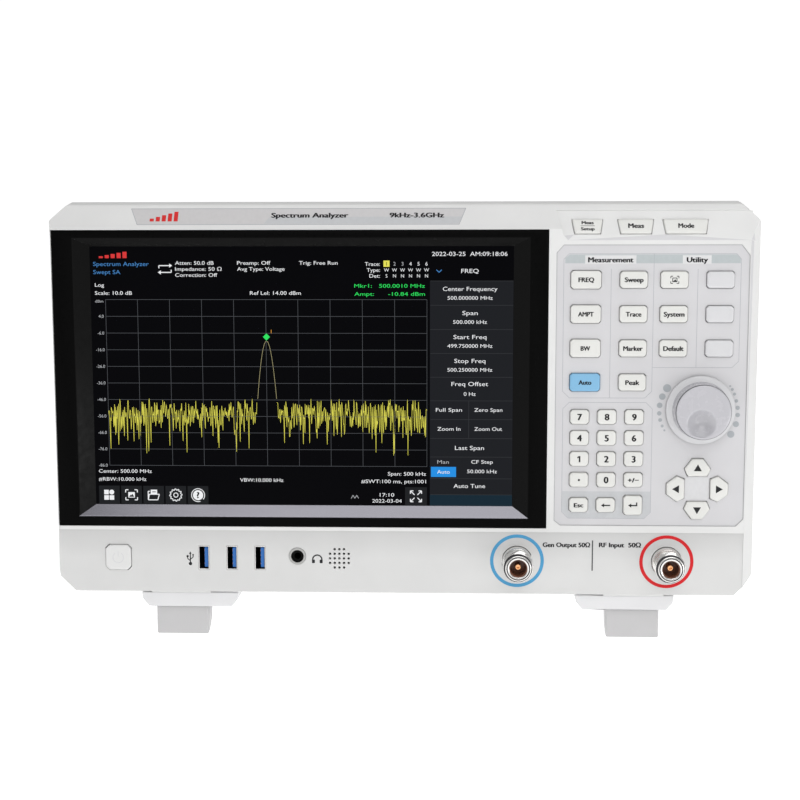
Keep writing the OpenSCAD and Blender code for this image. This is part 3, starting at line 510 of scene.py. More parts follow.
def softened_copy(node, name, material, body, width=0.25, outer=None, paint=None):
    """A CAD node's shape with its sharp edges rounded over, standing for that node."""
    mesh = frame["nodes"][node].data.copy()
    mesh.name = name
    mesh.materials.clear()
    mesh.materials.append(material)
    bm = bmesh.new()
    bm.from_mesh(mesh)
    bmesh.ops.remove_doubles(bm, verts=bm.verts, dist=0.000002)
    for face in bm.faces:
        face.material_index = 0
    weight = bm.edges.layers.float.new("bevel_weight_edge")
    back = BODY.inverted()
    for edge in bm.edges:
        if len(edge.link_faces) != 2 or edge.calc_face_angle(0) < math.radians(12):
            continue
        edge[weight] = outer([back @ v.co for v in edge.verts]) if outer else 1.0
    bm.to_mesh(mesh)
    bm.free()
    piece = put(name, mesh)
    bevel = piece.modifiers.new("round", "BEVEL")
    bevel.limit_method = "WEIGHT"
    bevel.width = width * MM
    bevel.segments = 4
    bevel.use_clamp_overlap = False
    bevel.miter_outer = "MITER_ARC"
    apply_modifiers(piece)
    if paint:
        paint(piece.data, back)
    piece.data.shade_smooth()
    soften(piece, 25)
    piece.modifiers.new("even", "WEIGHTED_NORMAL").keep_sharp = True
    apply_modifiers(piece)
    return attach(piece, body, (node,))


def painter(materials, choose):
    """Paint step that puts each face in the material chosen by its middle and normal."""

    def paint(mesh, back):
        for material in materials:
            mesh.materials.append(material)
        for face in mesh.polygons:
            normal = (back.to_3x3() @ face.normal).normalized()
            face.material_index = choose(back @ face.center, normal)

    return paint


# ---- Flat outlines in [x, z], anticlockwise ----


def line_cross(p, d, q, e):
    """Where the line through p along d meets the line through q along e."""
    cross = d[0] * e[1] - d[1] * e[0]
    along = ((q[0] - p[0]) * e[1] - (q[1] - p[1]) * e[0]) / cross
    return p[0] + along * d[0], p[1] + along * d[1]


def inset(points, distance):
    """A convex outline drawn in by a distance, or grown by a negative one."""
    lines = []
    for i, p in enumerate(points):
        q = points[(i + 1) % len(points)]
        length = math.dist(p, q)
        d = ((q[0] - p[0]) / length, (q[1] - p[1]) / length)
        lines.append(((p[0] - d[1] * distance, p[1] + d[0] * distance), d))
    return [line_cross(*lines[i - 1], *lines[i]) for i in range(len(lines))]


CORNER_STEPS = 4


def rounded(points, radius):
    """A convex outline with its corners rounded."""
    result = []
    for i, point in enumerate(points):
        corner = Vector(point)
        a, b = (Vector(end) - corner for end in (points[i - 1], points[(i + 1) % len(points)]))
        reach = min(radius / math.tan(a.angle(b) / 2), 0.48 * a.length, 0.48 * b.length)
        start, end = corner + a.normalized() * reach, corner + b.normalized() * reach
        for step in range(CORNER_STEPS + 1):
            t = step / CORNER_STEPS
            result.append(tuple((1 - t) ** 2 * start + 2 * t * (1 - t) * corner + t * t * end))
    return result


def front_outline(node, place=BODY):
    """Convex outline of a CAD node's front face."""
    points = node_points(node, place)
    front = points[points[:, 1] < points[:, 1].min() + 0.01]
    flat = sorted({(round(x, 2), round(z, 2)) for x, _, z in front})
    hull = []
    for row in (flat, flat[::-1]):
        side = []
        for p in row:
            while len(side) > 1 and turn_of(side[-2], side[-1], p) <= 0.001:
                side.pop()
            side.append(p)
        hull += side[:-1]
    return hull


def turn_of(a, b, c):
    return (b[0] - a[0]) * (c[1] - a[1]) - (b[1] - a[1]) * (c[0] - a[0])


def rectangle(x0, x1, z0, z1):
    return [(x0, z0), (x1, z0), (x1, z1), (x0, z1)]


def cut_rectangle(x0, x1, z0, z1, low_left=0, low_right=0, top_right=0, top_left=0):
    """Rectangle with its corners cut off by the distances given."""
    corners = [
        ((x0, z0 + low_left), (x0 + low_left, z0)),
        ((x1 - low_right, z0), (x1, z0 + low_right)),
        ((x1, z1 - top_right), (x1 - top_right, z1)),
        ((x0 + top_left, z1), (x0, z1 - top_left)),
    ]
    return [p for first, second in corners for p in ((first, second) if first != second else (first,))]


# ---- Casing ----

STRIP_Z = 43.3
# x from, x to, z from, z to
BEZEL_OUTSIDE = (-186.6, 77.5, 45.5, 205)
BEZEL_SLOPE = (-175.2, 67.6, 50.9, 200.8)
BEZEL_GLASS = (-167, 59.4, 56.6, 196.4)
BEZEL_BACK, BEZEL_BACK_LEFT = 5.9, -188.4


def on_outline(p):
    """Whether a point of the front frame lies on the body's outline or on its slanted edges."""
    chamfers = (
        abs(abs(p.x) + p.z - 398.4) < 0.3 and p.z > 209,
        abs(abs(p.x) - p.z - 169.5) < 0.3 and p.z < 20,
    )
    return abs(p.x) > 188.9 or p.z < 8.1 or p.z > 219.9 or any(chamfers)


def casing_edges(ends):
    """Share of the full rounding that an edge of the front frame gets."""
    if (ends[0] - ends[1]).length > 5 and all(5 < p.y < 20 and on_outline(p) for p in ends):
        return 1.0
    return 0.0


def front_paint(middle, normal):
    """Casing 0, recessed key section 1, socket strip 2."""
    if normal.y < -0.5 and 0.3 < middle.y < 0.9 and middle.x > 81 and middle.z > 46:
        return 1
    return 2 if normal.y < -0.5 and 0.2 < middle.y < 0.8 and middle.z < STRIP_Z else 0


def cover_edges(ends):
    """Rounds the rear cover's outer edges at the back, and only lightly along its top; the edges round its
    openings stay sharp.
    """
    outside = all(abs(p.x) > 178 or p.z < 12 or p.z > 217 for p in ends)
    rear = all(p.y > 117.9 for p in ends)
    corners = all(abs(p.y - 34.1) < 0.2 for p in ends)
    if rear and outside:
        return 1.0
    if outside and not corners and all(p.y > 34 and p.z > 218 for p in ends):
        return 0.3
    return 0.0


def make_bezel():
    """Black frame that slopes in to the glass on all four sides."""
    outside = rectangle(*BEZEL_OUTSIDE)
    behind = rectangle(BEZEL_BACK_LEFT, *BEZEL_OUTSIDE[1:])
    slope = rectangle(*BEZEL_SLOPE)
    glass = rectangle(*BEZEL_GLASS)
    rows = [
        (behind, BEZEL_BACK), (outside, 0.35), (inset(outside, 0.1), 0.1), (inset(outside, 0.35), 0),
        (inset(slope, -0.25), 0), (inset(slope, -0.05), 0.05), (inset(slope, 0.15), 0.2),
        (inset(glass, -0.1), 3.9), (glass, 4.0), (glass, BEZEL_BACK), (behind, BEZEL_BACK),
    ]
    shape = Shape(BLACK_FLAT, BLACK_GLOSS, LEDGE_SHEEN)
    shape.loops([[(x, y, z) for x, z in outline] for outline, y in rows], cap_last=False)
    slope_rows = range(4, 8)
    shape.paint_rows(slope_rows, 4, 1)
    # The lower side of the slope takes the painted sheen.
    for row in slope_rows:
        shape.paints[row * 4] = 2
    shape.build("screen_bezel", smooth=True, replaces=("screen_surround",), slot="surround")


def make_casing():
    softened_copy("front_frame", "front_moulding", WHITE, CASING, 1.1, casing_edges,
                  painter([PANEL, STRIP], front_paint))
    softened_copy("rear_cover", "rear_moulding", WHITE, CASING, 1.4, cover_edges)
    make_bezel()
    for node, name, material, body, width, slot in (
        ("feet", "foot_mouldings", FOOT_GREY, CASING, 0.7, "foot"),
        ("leg_left", "left_leg", LEG_GREY, "leg_left", 0.6, "foot"),
        ("leg_right", "right_leg", LEG_GREY, "leg_right", 0.6, "foot"),
        ("carry_handle", "handle_moulding", FOOT_GREY, "carry_handle", 1.0, "handle"),
        ("case_screws", "cover_screws", STEEL, CASING, 0.25, "screw"),
    ):
        softened_copy(node, name, material, body, width, None)


# ---- Keys ----

RIM = [(0, 0.85), (0.05, 0.55), (0.2, 0.3), (0.45, 0.14), (0.95, 0.05), (1.8, 0)]
CAP_BACK = 3.0


def key_cap(node, material, ink=INK_BLACK, place=BODY, radius=0.7):
    """Cap with a rounded rim and a slightly crowned face, ready for its legend in ink."""
    outline = front_outline(node, place)
    front = node_box(node, place)[0][1]
    shape = Shape(material, level=front)
    shape.loops([
        [(x, front + depth, z) for x, z in rounded(inset(outline, cut), radius)]
        for cut, depth in [(0, CAP_BACK - front)] + RIM
    ], cap_first=True)
    return shape.use(ink)


def centre_of(node, place=BODY):
    low, high = node_box(node, place)
    return (low[0] + high[0]) / 2, (low[2] + high[2]) / 2


def finish_key(shape, node, slot, place=BODY):
    shape.build(node + "_cap", node, place, True, (node,), slot)


# Legend, its width and its capital height
FUNCTION_LEGENDS = {
    f"key_{text.lower()}": (text, width, height)
    for text, width, height in (
        ("FREQ", 8.0, 2.3), ("AMPT", 8.0, 2.3), ("BW", 4.8, 2.3), ("Auto", 6.6, 2.3), ("Sweep", 9.6, 2.4),
        ("Trace", 8.0, 2.4), ("Marker", 10.0, 2.4), ("Peak", 7.2, 2.4), ("System", 10.6, 2.4),
        ("Default", 10.4, 2.4),
    )
}
FUNCTION_LEGENDS.update({f"key_{name}": None for name in ("screenshot", "blank_1", "blank_2", "blank_3")})
NUMBER_LEGENDS = {"key_esc": ("Esc", 4.8, 2.2), "key_backspace": None, "key_enter": None, "key_point": None,
                  "key_sign": ("+/−", 5.6, 2.2)}
NUMBER_LEGENDS.update({f"key_{digit}": (str(digit), None, 3.3) for digit in range(10)})


SIGNS = [(side, rise) for side in (-1, 1) for rise in (-1, 1)]


def brackets(shape, x, z, across, up, arm, width):
    """Four right angles at the corners of a rectangle."""
    for side, rise in SIGNS:
        cx, cz = x + side * across, z + rise * up
        shape.path([(cx - side * arm, cz), (cx, cz), (cx, cz - rise * arm)], width)


def screenshot_mark(shape, x, z):
    brackets(shape, x, z, 2.1, 1.9, 1.1, 0.4)
    shape.border(rectangle(x - 1.1, x + 1.1, z - 0.95, z + 0.95), 0.4)
    shape.flat([(x - 0.9, z - 0.8), (x + 0.9, z - 0.8), (x + 0.3, z + 0.3)])


def arrow_mark(shape, x, z, hook):
    """Arrow to the left, with an upright hook at its tail on the enter key."""
    shape.flat([(x - 2.5, z), (x - 0.8, z - 1.1), (x - 0.8, z + 1.1)])
    shape.path([(x - 1.2, z), (x + 2.4, z)], 0.7)
    if hook:
        shape.path([(x + 2.05, z - 0.2), (x + 2.05, z + 1.7)], 0.7)


def digit_one(shape, x, z):
    """The figure 1 with a flag, which the built-in font draws as a plain bar."""
    shape.box(x - 0.2, x + 0.65, z - 1.65, z + 1.65)
    shape.flat([(x - 1.0, z + 0.4), (x - 0.2, z + 0.8), (x - 0.2, z + 1.65), (x - 1.0, z + 1.15)])


def make_flat_keys():
    """Function keys and number pad."""
    for node, legend in {**FUNCTION_LEGENDS, **NUMBER_LEGENDS}.items():
        material, slot = KEY_CREAM, "keycap"
        if node == "key_auto":
            material, slot = KEY_BLUE, "keycap_blue"
        elif "blank" in node:
            material, slot = KEY_GREY, "keycap_grey"
        shape = key_cap(node, material)
        x, z = centre_of(node)
        if node == "key_1":
            digit_one(shape, x, z)
        elif legend:
            text, width, height = legend
            shape.text(text, x, z, height, width, bold=KEY_BOLD)
        elif node == "key_screenshot":
            screenshot_mark(shape, x, z)
        elif node in ("key_backspace", "key_enter"):
            arrow_mark(shape, x, z, node == "key_enter")
        elif node == "key_point":
            shape.flat(circle(x, z, 0.6, 16))
        finish_key(shape, node, slot)


def make_arrow_keys():
    for node, degrees in (("key_up", 90), ("key_left", 180), ("key_right", 0), ("key_down", 270)):
        angle = math.radians(degrees)
        shape = key_cap(node, KEY_CREAM, radius=1.2)
        outline = np.array(front_outline(node))
        x, z = (outline.min(0) + outline.max(0)) / 2
        shape.flat(circle(x - 0.6 * math.cos(angle), z - 0.6 * math.sin(angle), 2.45, 3, angle))
        finish_key(shape, node, "keycap")


def make_upper_keys():
    """The three keys in the tilted pocket."""
    for node, text in (("key_meas_setup", None), ("key_meas", "Meas"), ("key_mode", "Mode")):
        shape = key_cap(node, KEY_CREAM, place=POCKET, radius=0.9)
        x, z = centre_of(node, POCKET)
        if text:
            shape.text(text, x, z, 2.5, 8.0, bold=KEY_BOLD)
        else:
            shape.text("Meas", x, z + 1.75, 1.7, 6.1, bold=KEY_BOLD)
            shape.path([(x - 3.7, z), (x + 3.7, z)], 0.25)
            shape.text("Setup", x, z - 1.75, 1.7, 7.0, bold=KEY_BOLD)
        finish_key(shape, node, "keycap", POCKET)


# ---- Tuning knob ----

KNOB_SEGMENTS = 120
GRIP_R = 14.8
DIMPLE_R, DIMPLE_DEPTH, DIMPLE_ROWS = 7.6, 4.2, 44
DIMPLE_OFFSET = (1, 6)


def dimple(dx, dz):
    """Depth of the finger dimple at an offset from the knob's axis."""
    share = min(1.0, math.hypot(dx + DIMPLE_OFFSET[0], dz + DIMPLE_OFFSET[1]) / DIMPLE_R)
    return DIMPLE_DEPTH * (1 - share * share) ** 1.1 if share < 1 else 0.0


def make_knob():
    low, high = node_box("tuning_knob")
    x, z = centre_of("tuning_knob")
    front, skirt, grip = low[1], (high[0] - low[0]) / 2, GRIP_R
    side = [
        (3.0, 4.0), (3.0, -1.0), (5.0, -1.0), (17.2, -0.7), (skirt - 0.3, -0.7), (skirt, -0.95),
        (skirt, -1.45), (skirt - 0.15, -1.7), (skirt - 0.6, -1.9), (16.6, -2.6), (grip + 0.5, -3.3),
        (grip + 0.1, -3.7), (grip, -4.2), (grip - 0.15, front + 1.1), (grip - 0.25, front + 0.6),
        (grip - 0.55, front + 0.25), (grip - 1.0, front + 0.05), (grip - 1.5, front),
    ]
    loops = rings(side, x, z, KNOB_SEGMENTS)
    for row in range(1, DIMPLE_ROWS):
        radius = (grip - 1.5) * (1 - row / DIMPLE_ROWS)
        offsets = circle(0, 0, radius, KNOB_SEGMENTS)
        loops.append([(x + dx, front + dimple(dx, dz), z + dz) for dx, dz in offsets])
    shape = Shape(KNOB_GREY, KEY_GREY, KNOB_EDGE_SHADE)
    shape.loops(loops, cap_first=True)
    skirt_rows, shaded_edge_rows = range(4, 10), (13, 14)
    shape.paint_rows(skirt_rows, KNOB_SEGMENTS, 1)
    # Painted shade ring on the rounded edge of the grip.
    shape.paint_rows(shaded_edge_rows, KNOB_SEGMENTS, 2)
    shape.build("knob_moulding", "tuning_knob", BODY, True, ("tuning_knob",), "knob")


# ---- Power button, sockets and their connectors ----


def make_power_button():
    shape = key_cap("power_button", POWER_WHITE, INK_FAINT, radius=1.3)
    x, z = centre_of("power_button")
    shape.arc(x, z, 2.9, 125, 415, 0.45)
    shape.path([(x, z + 0.6), (x, z + 3.6)], 0.45)
    finish_key(shape, "power_button", "power_key")


USB_X, USB_PITCH, SOCKET_Z = -92.5, 15.35, 28.0
JACK = (-56.8, 29.1)


def front_socket_paint(middle, _normal):
    """Shell 0, cavity and speaker 1, tongue 2, jack 3."""
    for i in (-1, 0, 1):
        dx = middle.x - USB_X - i * USB_PITCH
        if abs(dx) < 2.56 and abs(middle.z - SOCKET_Z) < 6.15 and 0.7 < middle.y < 14.1:
            return 2 if 0.1 < dx < 2.2 and abs(middle.z - SOCKET_Z) < 5.6 else 1
    away = math.hypot(middle.x - JACK[0], middle.z - JACK[1])
    if away < 3.45 or middle.x > -46:
        return 1
    return 3 if away < 9 else 0


def make_usb_contacts():
    shape = Shape(GOLD, level=2.4)
    length = 6.1
    for i in (-1, 0, 1):
        x = USB_X + i * USB_PITCH + 0.2
        for k in range(4):
            z = SOCKET_Z + (k - 1.5) * 2.4
            shape.box(x - 0.12, x + 0.05, z - 0.45, z + 0.45, -length)
    shape.build("usb_contacts", slot="nickel")


N_SOCKETS = (62.1, 142.3)
N_Z = 27.4
N_PITCH = 1.058
N_SEGMENTS, THREAD_STEPS = 72, 46
# Radius and y of the socket's outside, from the back of the panel to the thread
N_BODY = [
    (4.7, 20), (5, 19.7), (5, 7.05), (7.94, 7.05), (7.94, -3.9), (7.8, -4.3), (7.4, -4.6), (6.6, -4.6),
    (6.6, -8.3),
]
# From the end of the thread over the rim, with its groove, and down the bore
N_RIM = [
    (6.9, -16.45), (6.9, -17.6), (6.75, -17.88), (6.5, -18), (6.3, -18), (6.2, -17.7), (5.75, -17.7),
    (5.65, -18), (5.0, -18), (4.85, -17.9), (4.8, -17.6), (4.8, -16.6), (4.3, -16.5), (4.25, -8.1),
]
N_CONTACT = [(1.6, -8.0), (1.6, -13.7), (1.35, -14), (0.85, -14), (0.8, -13.7), (0.8, -12.5)]
N_INSULATOR = [(4.2, -8.3), (4.2, -9.2), (1.7, -9.3), (1.62, -9.1)]
N_NUT = [(9.1, 3.05), (9.5, 3.5), (9.5, 6.6), (9.1, 7.0)]


def thread_radius(angle, y):
    """Radius of the type N thread, which dies out at both ends."""
    phase = (y / N_PITCH - angle / (2 * math.pi)) % 1.0
    ridge = min(1.0, 2.6 * (0.5 - abs(phase - 0.5)))
    fade = min(1.0, (y + 16.4) / 0.9, (-8.4 - y) / 0.9)
    return 7.3 + 0.64 * ridge * max(0.0, fade)


def make_n_socket(x, name):
    loops = rings(N_BODY, x, N_Z, N_SEGMENTS)
    for step in range(THREAD_STEPS + 1):
        y = -8.4 - 8.0 * step / THREAD_STEPS
        turned = [(a, thread_radius(a, y)) for a in angles_of(N_SEGMENTS)]
        loops.append([(x + r * math.cos(a), y, N_Z + r * math.sin(a)) for a, r in turned])
    loops += rings(N_RIM, x, N_Z, N_SEGMENTS)
    shape = Shape(NICKEL, BORE, GOLD, NICKEL_SHADE)
    shape.loops(loops, cap_first=True)
    last_row, thread_end = len(loops) - 1, len(N_BODY) + THREAD_STEPS
    rim, groove = range(thread_end - 4, thread_end + 2), range(thread_end + 5, thread_end + 8)
    shape.paint_rows(range(last_row - 2, last_row), N_SEGMENTS, 1)
    # The rim and its groove are painted in dark nickel as shade and dark reflection.
    shape.paint_rows([*rim, *groove], N_SEGMENTS, 3)
    shape.paints[-1] = 1
    shape.use(GOLD).loops(rings(N_CONTACT, x, N_Z, 32))
    shape.use(BORE).loops(rings(N_INSULATOR, x, N_Z, 48))
    shape.use(NICKEL).loops(rings(N_NUT, x, N_Z, 6), cap_first=True)
    shape.build(name, smooth=True, replaces=("rf_connectors",), slot="nickel")


def make_front_sockets():
    softened_copy("front_sockets", "front_socket_block", NICKEL, CASING, 0.12, None,
                  painter([BLACK_HOLE, USB_BLUE, JACK_GREY], front_socket_paint))
    make_usb_contacts()
    make_n_socket(N_SOCKETS[0], "generator_connector")
    make_n_socket(N_SOCKETS[1], "input_connector")


BNC_X, BNC_Z = (-10, 18, 46), 40.0


def rear_socket_paint(middle, normal):
    """Plating 0, black plastic 1, insulator 2."""
    if middle.x < -96:
        pin = 102.5 < middle.y < 111.6 and abs(middle.x + 132) < 8.2 and abs(middle.z - 48) < 5.5
        return 0 if pin and abs(normal.y) < 0.9 else 1
    for x in BNC_X:
        away = math.hypot(middle.x - x, middle.z - BNC_Z)
        if away < 3.45 and 118.5 < middle.y < 121.5:
            return 2
    return 1 if middle.y < 117.9 and middle.x < -20 else 0


REAR_LABELS = [("REF IN", -10, 51), ("REF OUT", 18, 51), ("TRIG IN", 46, 51), ("LAN", -54, 52),
               ("USB", -80, 52), ("VIDEO", -34.5, 46), ("100-240 V~  50/60 Hz", -132, 64.5)]


def make_rear():
    softened_copy("rear_sockets", "rear_socket_block", NICKEL, CASING, 0.12, None,
                  painter([DARK_PLASTIC, INSULATOR], rear_socket_paint))
    shape = Shape(INK_BLACK, level=118)
    for text, x, z in REAR_LABELS:
        shape.text(text, x, z, 2.7, bold=0.05, mirror=True)
    for x in BNC_X:
        shape.flat(circle(x, 30.4, 0.9, 20), -PRINT_T)
    shape.build("rear_prints", slot="housing")


# ---- Printing on the panel ----

SLOPE_Z = 205.5
SLOPE_TILT = math.atan2(9, 13)
SLOPE = BODY @ Matrix.Translation((0, 0, SLOPE_Z)) @ turn_back(SLOPE_TILT)
SECTION_Y, STRIP_Y, GLASS_Y = 0.6, 0.5, 4.0
LINE_W = 0.22
LAST_ROW = ("key_esc", "key_backspace", "key_enter")
KNOB = (158.4, 110.0)
# Distance from the knob's axis, angle and diameter of each dot
KNOB_DOTS = [
    (21.0, 147, 4.3), (21.2, 161, 3.5), (21.5, 174, 3.0), (21.6, 185.5, 2.4), (21.7, 195, 2.0),
    (21.7, 204, 1.6), (21.7, 211, 1.1), (20.0, 39, 1.1), (19.9, 33, 1.6), (19.8, 25, 1.6), (19.6, 14, 1.9),
    (19.8, 3, 2.3),
    (20.1, -8, 2.4), (20.6, -22, 3.2), (21.1, -38.5, 3.8),
]


def slope_z(z):
    """Distance up the sloping top strip of a point at height z."""
    return (z - SLOPE_Z) / math.cos(SLOPE_TILT)


def signal_bars(shape, x, z, height):
    """Plain mark of five rising bars."""
    for i in range(5):
        shape.flat(rectangle(x + i * 3.2, x + i * 3.2 + 2.2, z, z + height * (0.3 + 0.175 * i)))


def make_name_plate():
    shape = Shape()
    low, high = slope_z(207.6), slope_z(216.6)
    plate = [(-140.7, low), (30.6, low), (34.4, high), (-145.0, high)]
    shape.use(INK_PLATE).flat(inset(plate, 0.5), FILM_T)
    # The grey border round the plate is painted shade at the edge of its recess.
    shape.use(LINE_INK_AND_PLATE_SHADE).border(inset(plate, 0.35), 0.3)
    middle = low + 0.48 * (high - low)
    stripe = [(-73, low + 0.9), (30.0, low + 0.9), (31.8, middle), (-70, middle)]
    shape.use(INK_BAND_DARK).flat(stripe, 0.02)
    signal_bars(shape.use(INK_RED), -134, slope_z(209.6), 6.2)
    shape.use(INK_BLACK)
    shape.text("Spectrum Analyzer", -48.8, slope_z(212.7), 2.9, 40.6, bold=KEY_BOLD)
    shape.text("9kHz-3.6GHz", 8, slope_z(212.7), 2.9, 28.5, bold=KEY_BOLD)
    shape.build("name_plate", place=SLOPE, slot="housing")


def print_round_keys(shape, x0, x1, z0, z1, cut, keys):
    """Printed band with its lower corners cut, left open where a row of keys comes through."""
    last, left_cut = x0, cut
    for node in keys:
        outline = np.array(front_outline(node))
        left, low = outline.min(0) - 0.35
        right, high = outline.max(0) + 0.35
        shape.flat(cut_rectangle(last, left, z0, z1, left_cut), FILM_T)
        shape.box(left, right, z0, low, FILM_T)
        shape.box(left, right, high, z1, FILM_T)
        last, left_cut = right, 0
    shape.flat(cut_rectangle(last, x1, z0, z1, 0, cut), FILM_T)


def make_section_prints():
    shape = Shape(level=SECTION_Y)
    section = [(85, 47), (178.7, 47), (182.7, 51), (182.7, 191.6), (178.3, 197.2), (85.4, 197.2),
               (81.6, 193), (81.6, 49.7)]
    shape.use(INK_EDGE).border(inset(section, 0.2), 0.36)
    band = [(86.2, 187.4), (177.8, 187.4), (177.8, 190.2), (175.6, 192), (88.6, 192), (86.2, 190)]
    shape.use(INK_BAND).flat(band, FILM_T)
    for title, x, width, left, right in (
        ("Measurement", 110, 23.4, 96.6, 123.4), ("Utility", 155.2, 10.8, 147.6, 162.6),
    ):
        shape.use(INK_PATCH).box(left, right, 187.1, 191.6, 0.02)
        shape.use(INK_BLACK).text(title, x, 189.2, 2.6, width, bold=KEY_BOLD)
    shape.use(LINE_INK_AND_PLATE_SHADE)
    shape.border(cut_rectangle(85.5, 132.7, 116.1, 192.4, 3.6, 3.6, 0, 2.8), LINE_W)
    shape.path([(132.7, 132.4), (174.6, 132.4), (178.1, 135.9), (178.1, 189.6), (175.6, 192.4),
                (132.7, 192.4)], LINE_W)
    shape.path([(110.4, 116.2), (110.4, 184.4)], LINE_W)
    shape.path([(155.7, 132.4), (155.7, 184.4)], LINE_W)
    shape.border(cut_rectangle(85.8, 133.2, 51, 113.7, 3.4, 3.4, 3.4, 3.4), LINE_W)
    print_round_keys(shape.use(INK_BAND_DARK), 86, 133, 51.2, 65.7, 3.4, LAST_ROW)
    shape.use(INK_FAINT).flat(rounded(rectangle(151.6, 163.8, 61.3, 73.5), 1.6), FILM_T)
    shape.use(INK_DOT)
    for radius, angle, diameter in KNOB_DOTS:
        turn = math.radians(angle)
        x, z = KNOB[0] + radius * math.cos(turn), KNOB[1] + radius * math.sin(turn)
        shape.flat(circle(x, z, diameter / 2, 20))
    shape.build("section_prints", slot="housing")


def usb_mark(shape, x, z):
    shape.path([(x, z - 2.8), (x, z + 2.6)], 0.55)
    shape.flat(circle(x, z - 3.0, 0.95, 16))
    shape.flat([(x - 0.7, z + 2.4), (x + 0.7, z + 2.4), (x, z + 3.8)])
    shape.path([(x, z - 1.4), (x - 1.5, z - 0.2), (x - 1.5, z + 0.9)], 0.5)
    shape.flat(circle(x - 1.5, z + 1.1, 0.65, 12))
    shape.path([(x, z - 0.6), (x + 1.5, z + 0.6), (x + 1.5, z + 1.6)], 0.5)
    shape.box(x + 1.1, x + 1.9, z + 1.5, z + 2.3)


def headphone_mark(shape, x, z):
    shape.arc(x, z - 0.6, 2.5, 0, 180, 0.75)
    for middle in (x - 2.1, x + 2.1):
        shape.flat(rounded(rectangle(middle - 0.8, middle + 0.8, z - 2.6, z - 0.6), 0.4))


def make_strip_prints():
    shape = Shape(level=STRIP_Y)
    for x, material in zip(N_SOCKETS, (RING_BLUE, RING_RED)):
        shape.use(material).band(circle(x, N_Z, 14.5, 96), circle(x, N_Z, 12.7, 96))
    shape.use(INK_GREY).path([(102.6, 22.2), (102.6, 38.9)], 0.7)
    shape.use(INK_BLACK)
    shape.text("Gen Output 50Ω", 88.6, 36.3, 2.4, 25.2, bold=KEY_BOLD)
    shape.text("RF Input  50Ω", 117.3, 36.4, 2.4, 22.2, bold=KEY_BOLD)
    usb_mark(shape, -115.3, 27.6)
    headphone_mark(shape, -46, 27.9)
    shape.build("strip_prints", slot="housing")


# ---- Picture on the screen, in millimetres from the glass's lower left corner ----

SCREEN = BODY @ Matrix.Translation((-167.0, GLASS_Y, 56.6))
SMALL, MEDIUM = 1.9, 2.15
TRACE_W = 0.2
PEAK_X, MENU_X = 94.4, 203.3
# Alignment and colour, then text, x, z, width and capital height where it isn't SMALL
SCREEN_TEXT = [
    ("left", LIT_BLUE, [
        ("Spectrum Analyzer", 1.8, 130.5, 30, MEDIUM), ("Swept SA", 1.8, 126.2, 14.6, MEDIUM),
    ]),
    ("left", LIT_WHITE, [
        ("Atten: 50.0 dB", 45.9, 131, 20.8), ("Impedance: 50 Ω", 45.9, 127.8, 25),
        ("Correction: Off", 45.9, 124.6, 22.6), ("Preamp: Off", 79.2, 131, 17.8),
        ("Avg Type: Voltage", 79.2, 127.8, 25.4), ("Trig: Free Run", 112.3, 131, 20.6),
        ("Log", 2.5, 119.3, 4.9), ("Scale: 10.0 dB", 2.4, 115, 20),
        ("Center: 500.00 MHz", 1.9, 18.3, 29), ("#RBW:10.000 kHz", 1.8, 13.9, 26),
        ("VBW:10.000 kHz", 79, 13.7, 23.6),
    ]),
    ("right", LIT_WHITE, [
        ("Trace:", 155.4, 130.4, 8), ("Type:", 155.4, 127.2, 7), ("Det:", 155.4, 124.1, 5.6),
        ("Span: 500 kHz", 179.9, 17.5, 20.6), ("#SWT:100 ms, pts:1001", 179.9, 13.3, 35),
    ]),
    ("right", LIT_GREEN, [
        ("Mkr1:   500.0010 MHz", 179.3, 118.8, 37.6), ("Ampt:      -10.84 dBm", 179.3, 114.5, 37.6),
    ]),
    ("right", LIT_DIM, [("dBm", 6.8, 110.6, 4.4, 1.4)]),
    ("centre", LIT_DIM, [("Man", 189.1, 24.1, 6.2)]),
    ("centre", LIT_ORANGE, [("1", 97, 94.4, None)]),
    ("centre", LIT_WHITE, [
        ("2022-03-25  AM:09:18:06", 203, 135.7, 40, MEDIUM), ("FREQ", 203.2, 126.7, 9.2, MEDIUM),
        ("Freq Offset", MENU_X, 66.4, 19.6, MEDIUM), ("0 Hz", MENU_X, 61, 6.4),
        ("Full Span", 192.2, 52.4, 14), ("Zero Span", 213.3, 52.4, 15),
        ("Zoom In", 192.2, 42.1, 12.4), ("Zoom Out", 213.3, 42.1, 14.8),
        ("Last Span", MENU_X, 31.8, 15.6, MEDIUM), ("Auto", 189.3, 18.7, 6.8),
        ("CF Step", 210.1, 24.2, 11.6), ("50.000 kHz", 210.1, 19, 16), ("Auto Tune", MENU_X, 11, 17, MEDIUM),
        ("Ref Lel: 14.00 dBm", 99.5, 115, 27.3), ("17:10", 158.8, 5.9, 7.8), ("2022-03-04", 158.8, 2.6, 16),
    ]),
]
# Title and value of the upper menu rows, with their widths
MENU_ROWS = (
    ("Center Frequency", 29, "500.000000 MHz", 24), ("Span", 8.2, "500.000 kHz", 18),
    ("Start Freq", 17.6, "499.750000 MHz", 24), ("Stop Freq", 16.6, "500.250000 MHz", 24),
)
MENU_SEAMS = (121.4, 108.5, 95.6, 82.8, 70, 57.3, 47.2, 36.9, 26.8, 15, 6.2)


def write_lines(shape):
    for align, material, lines in SCREEN_TEXT:
        shape.use(material)
        for text, x, z, width, *height in lines:
            shape.text(text, x, z, *(height or [SMALL]), width, align)
    shape.use(LIT_WHITE)
    for row, (title, title_width, value, value_width) in enumerate(MENU_ROWS):
        z = 117.2 - 12.8 * row
        shape.text(title, MENU_X, z, MEDIUM, title_width)
        shape.text(value, MENU_X, z - 4.8, SMALL, value_width)


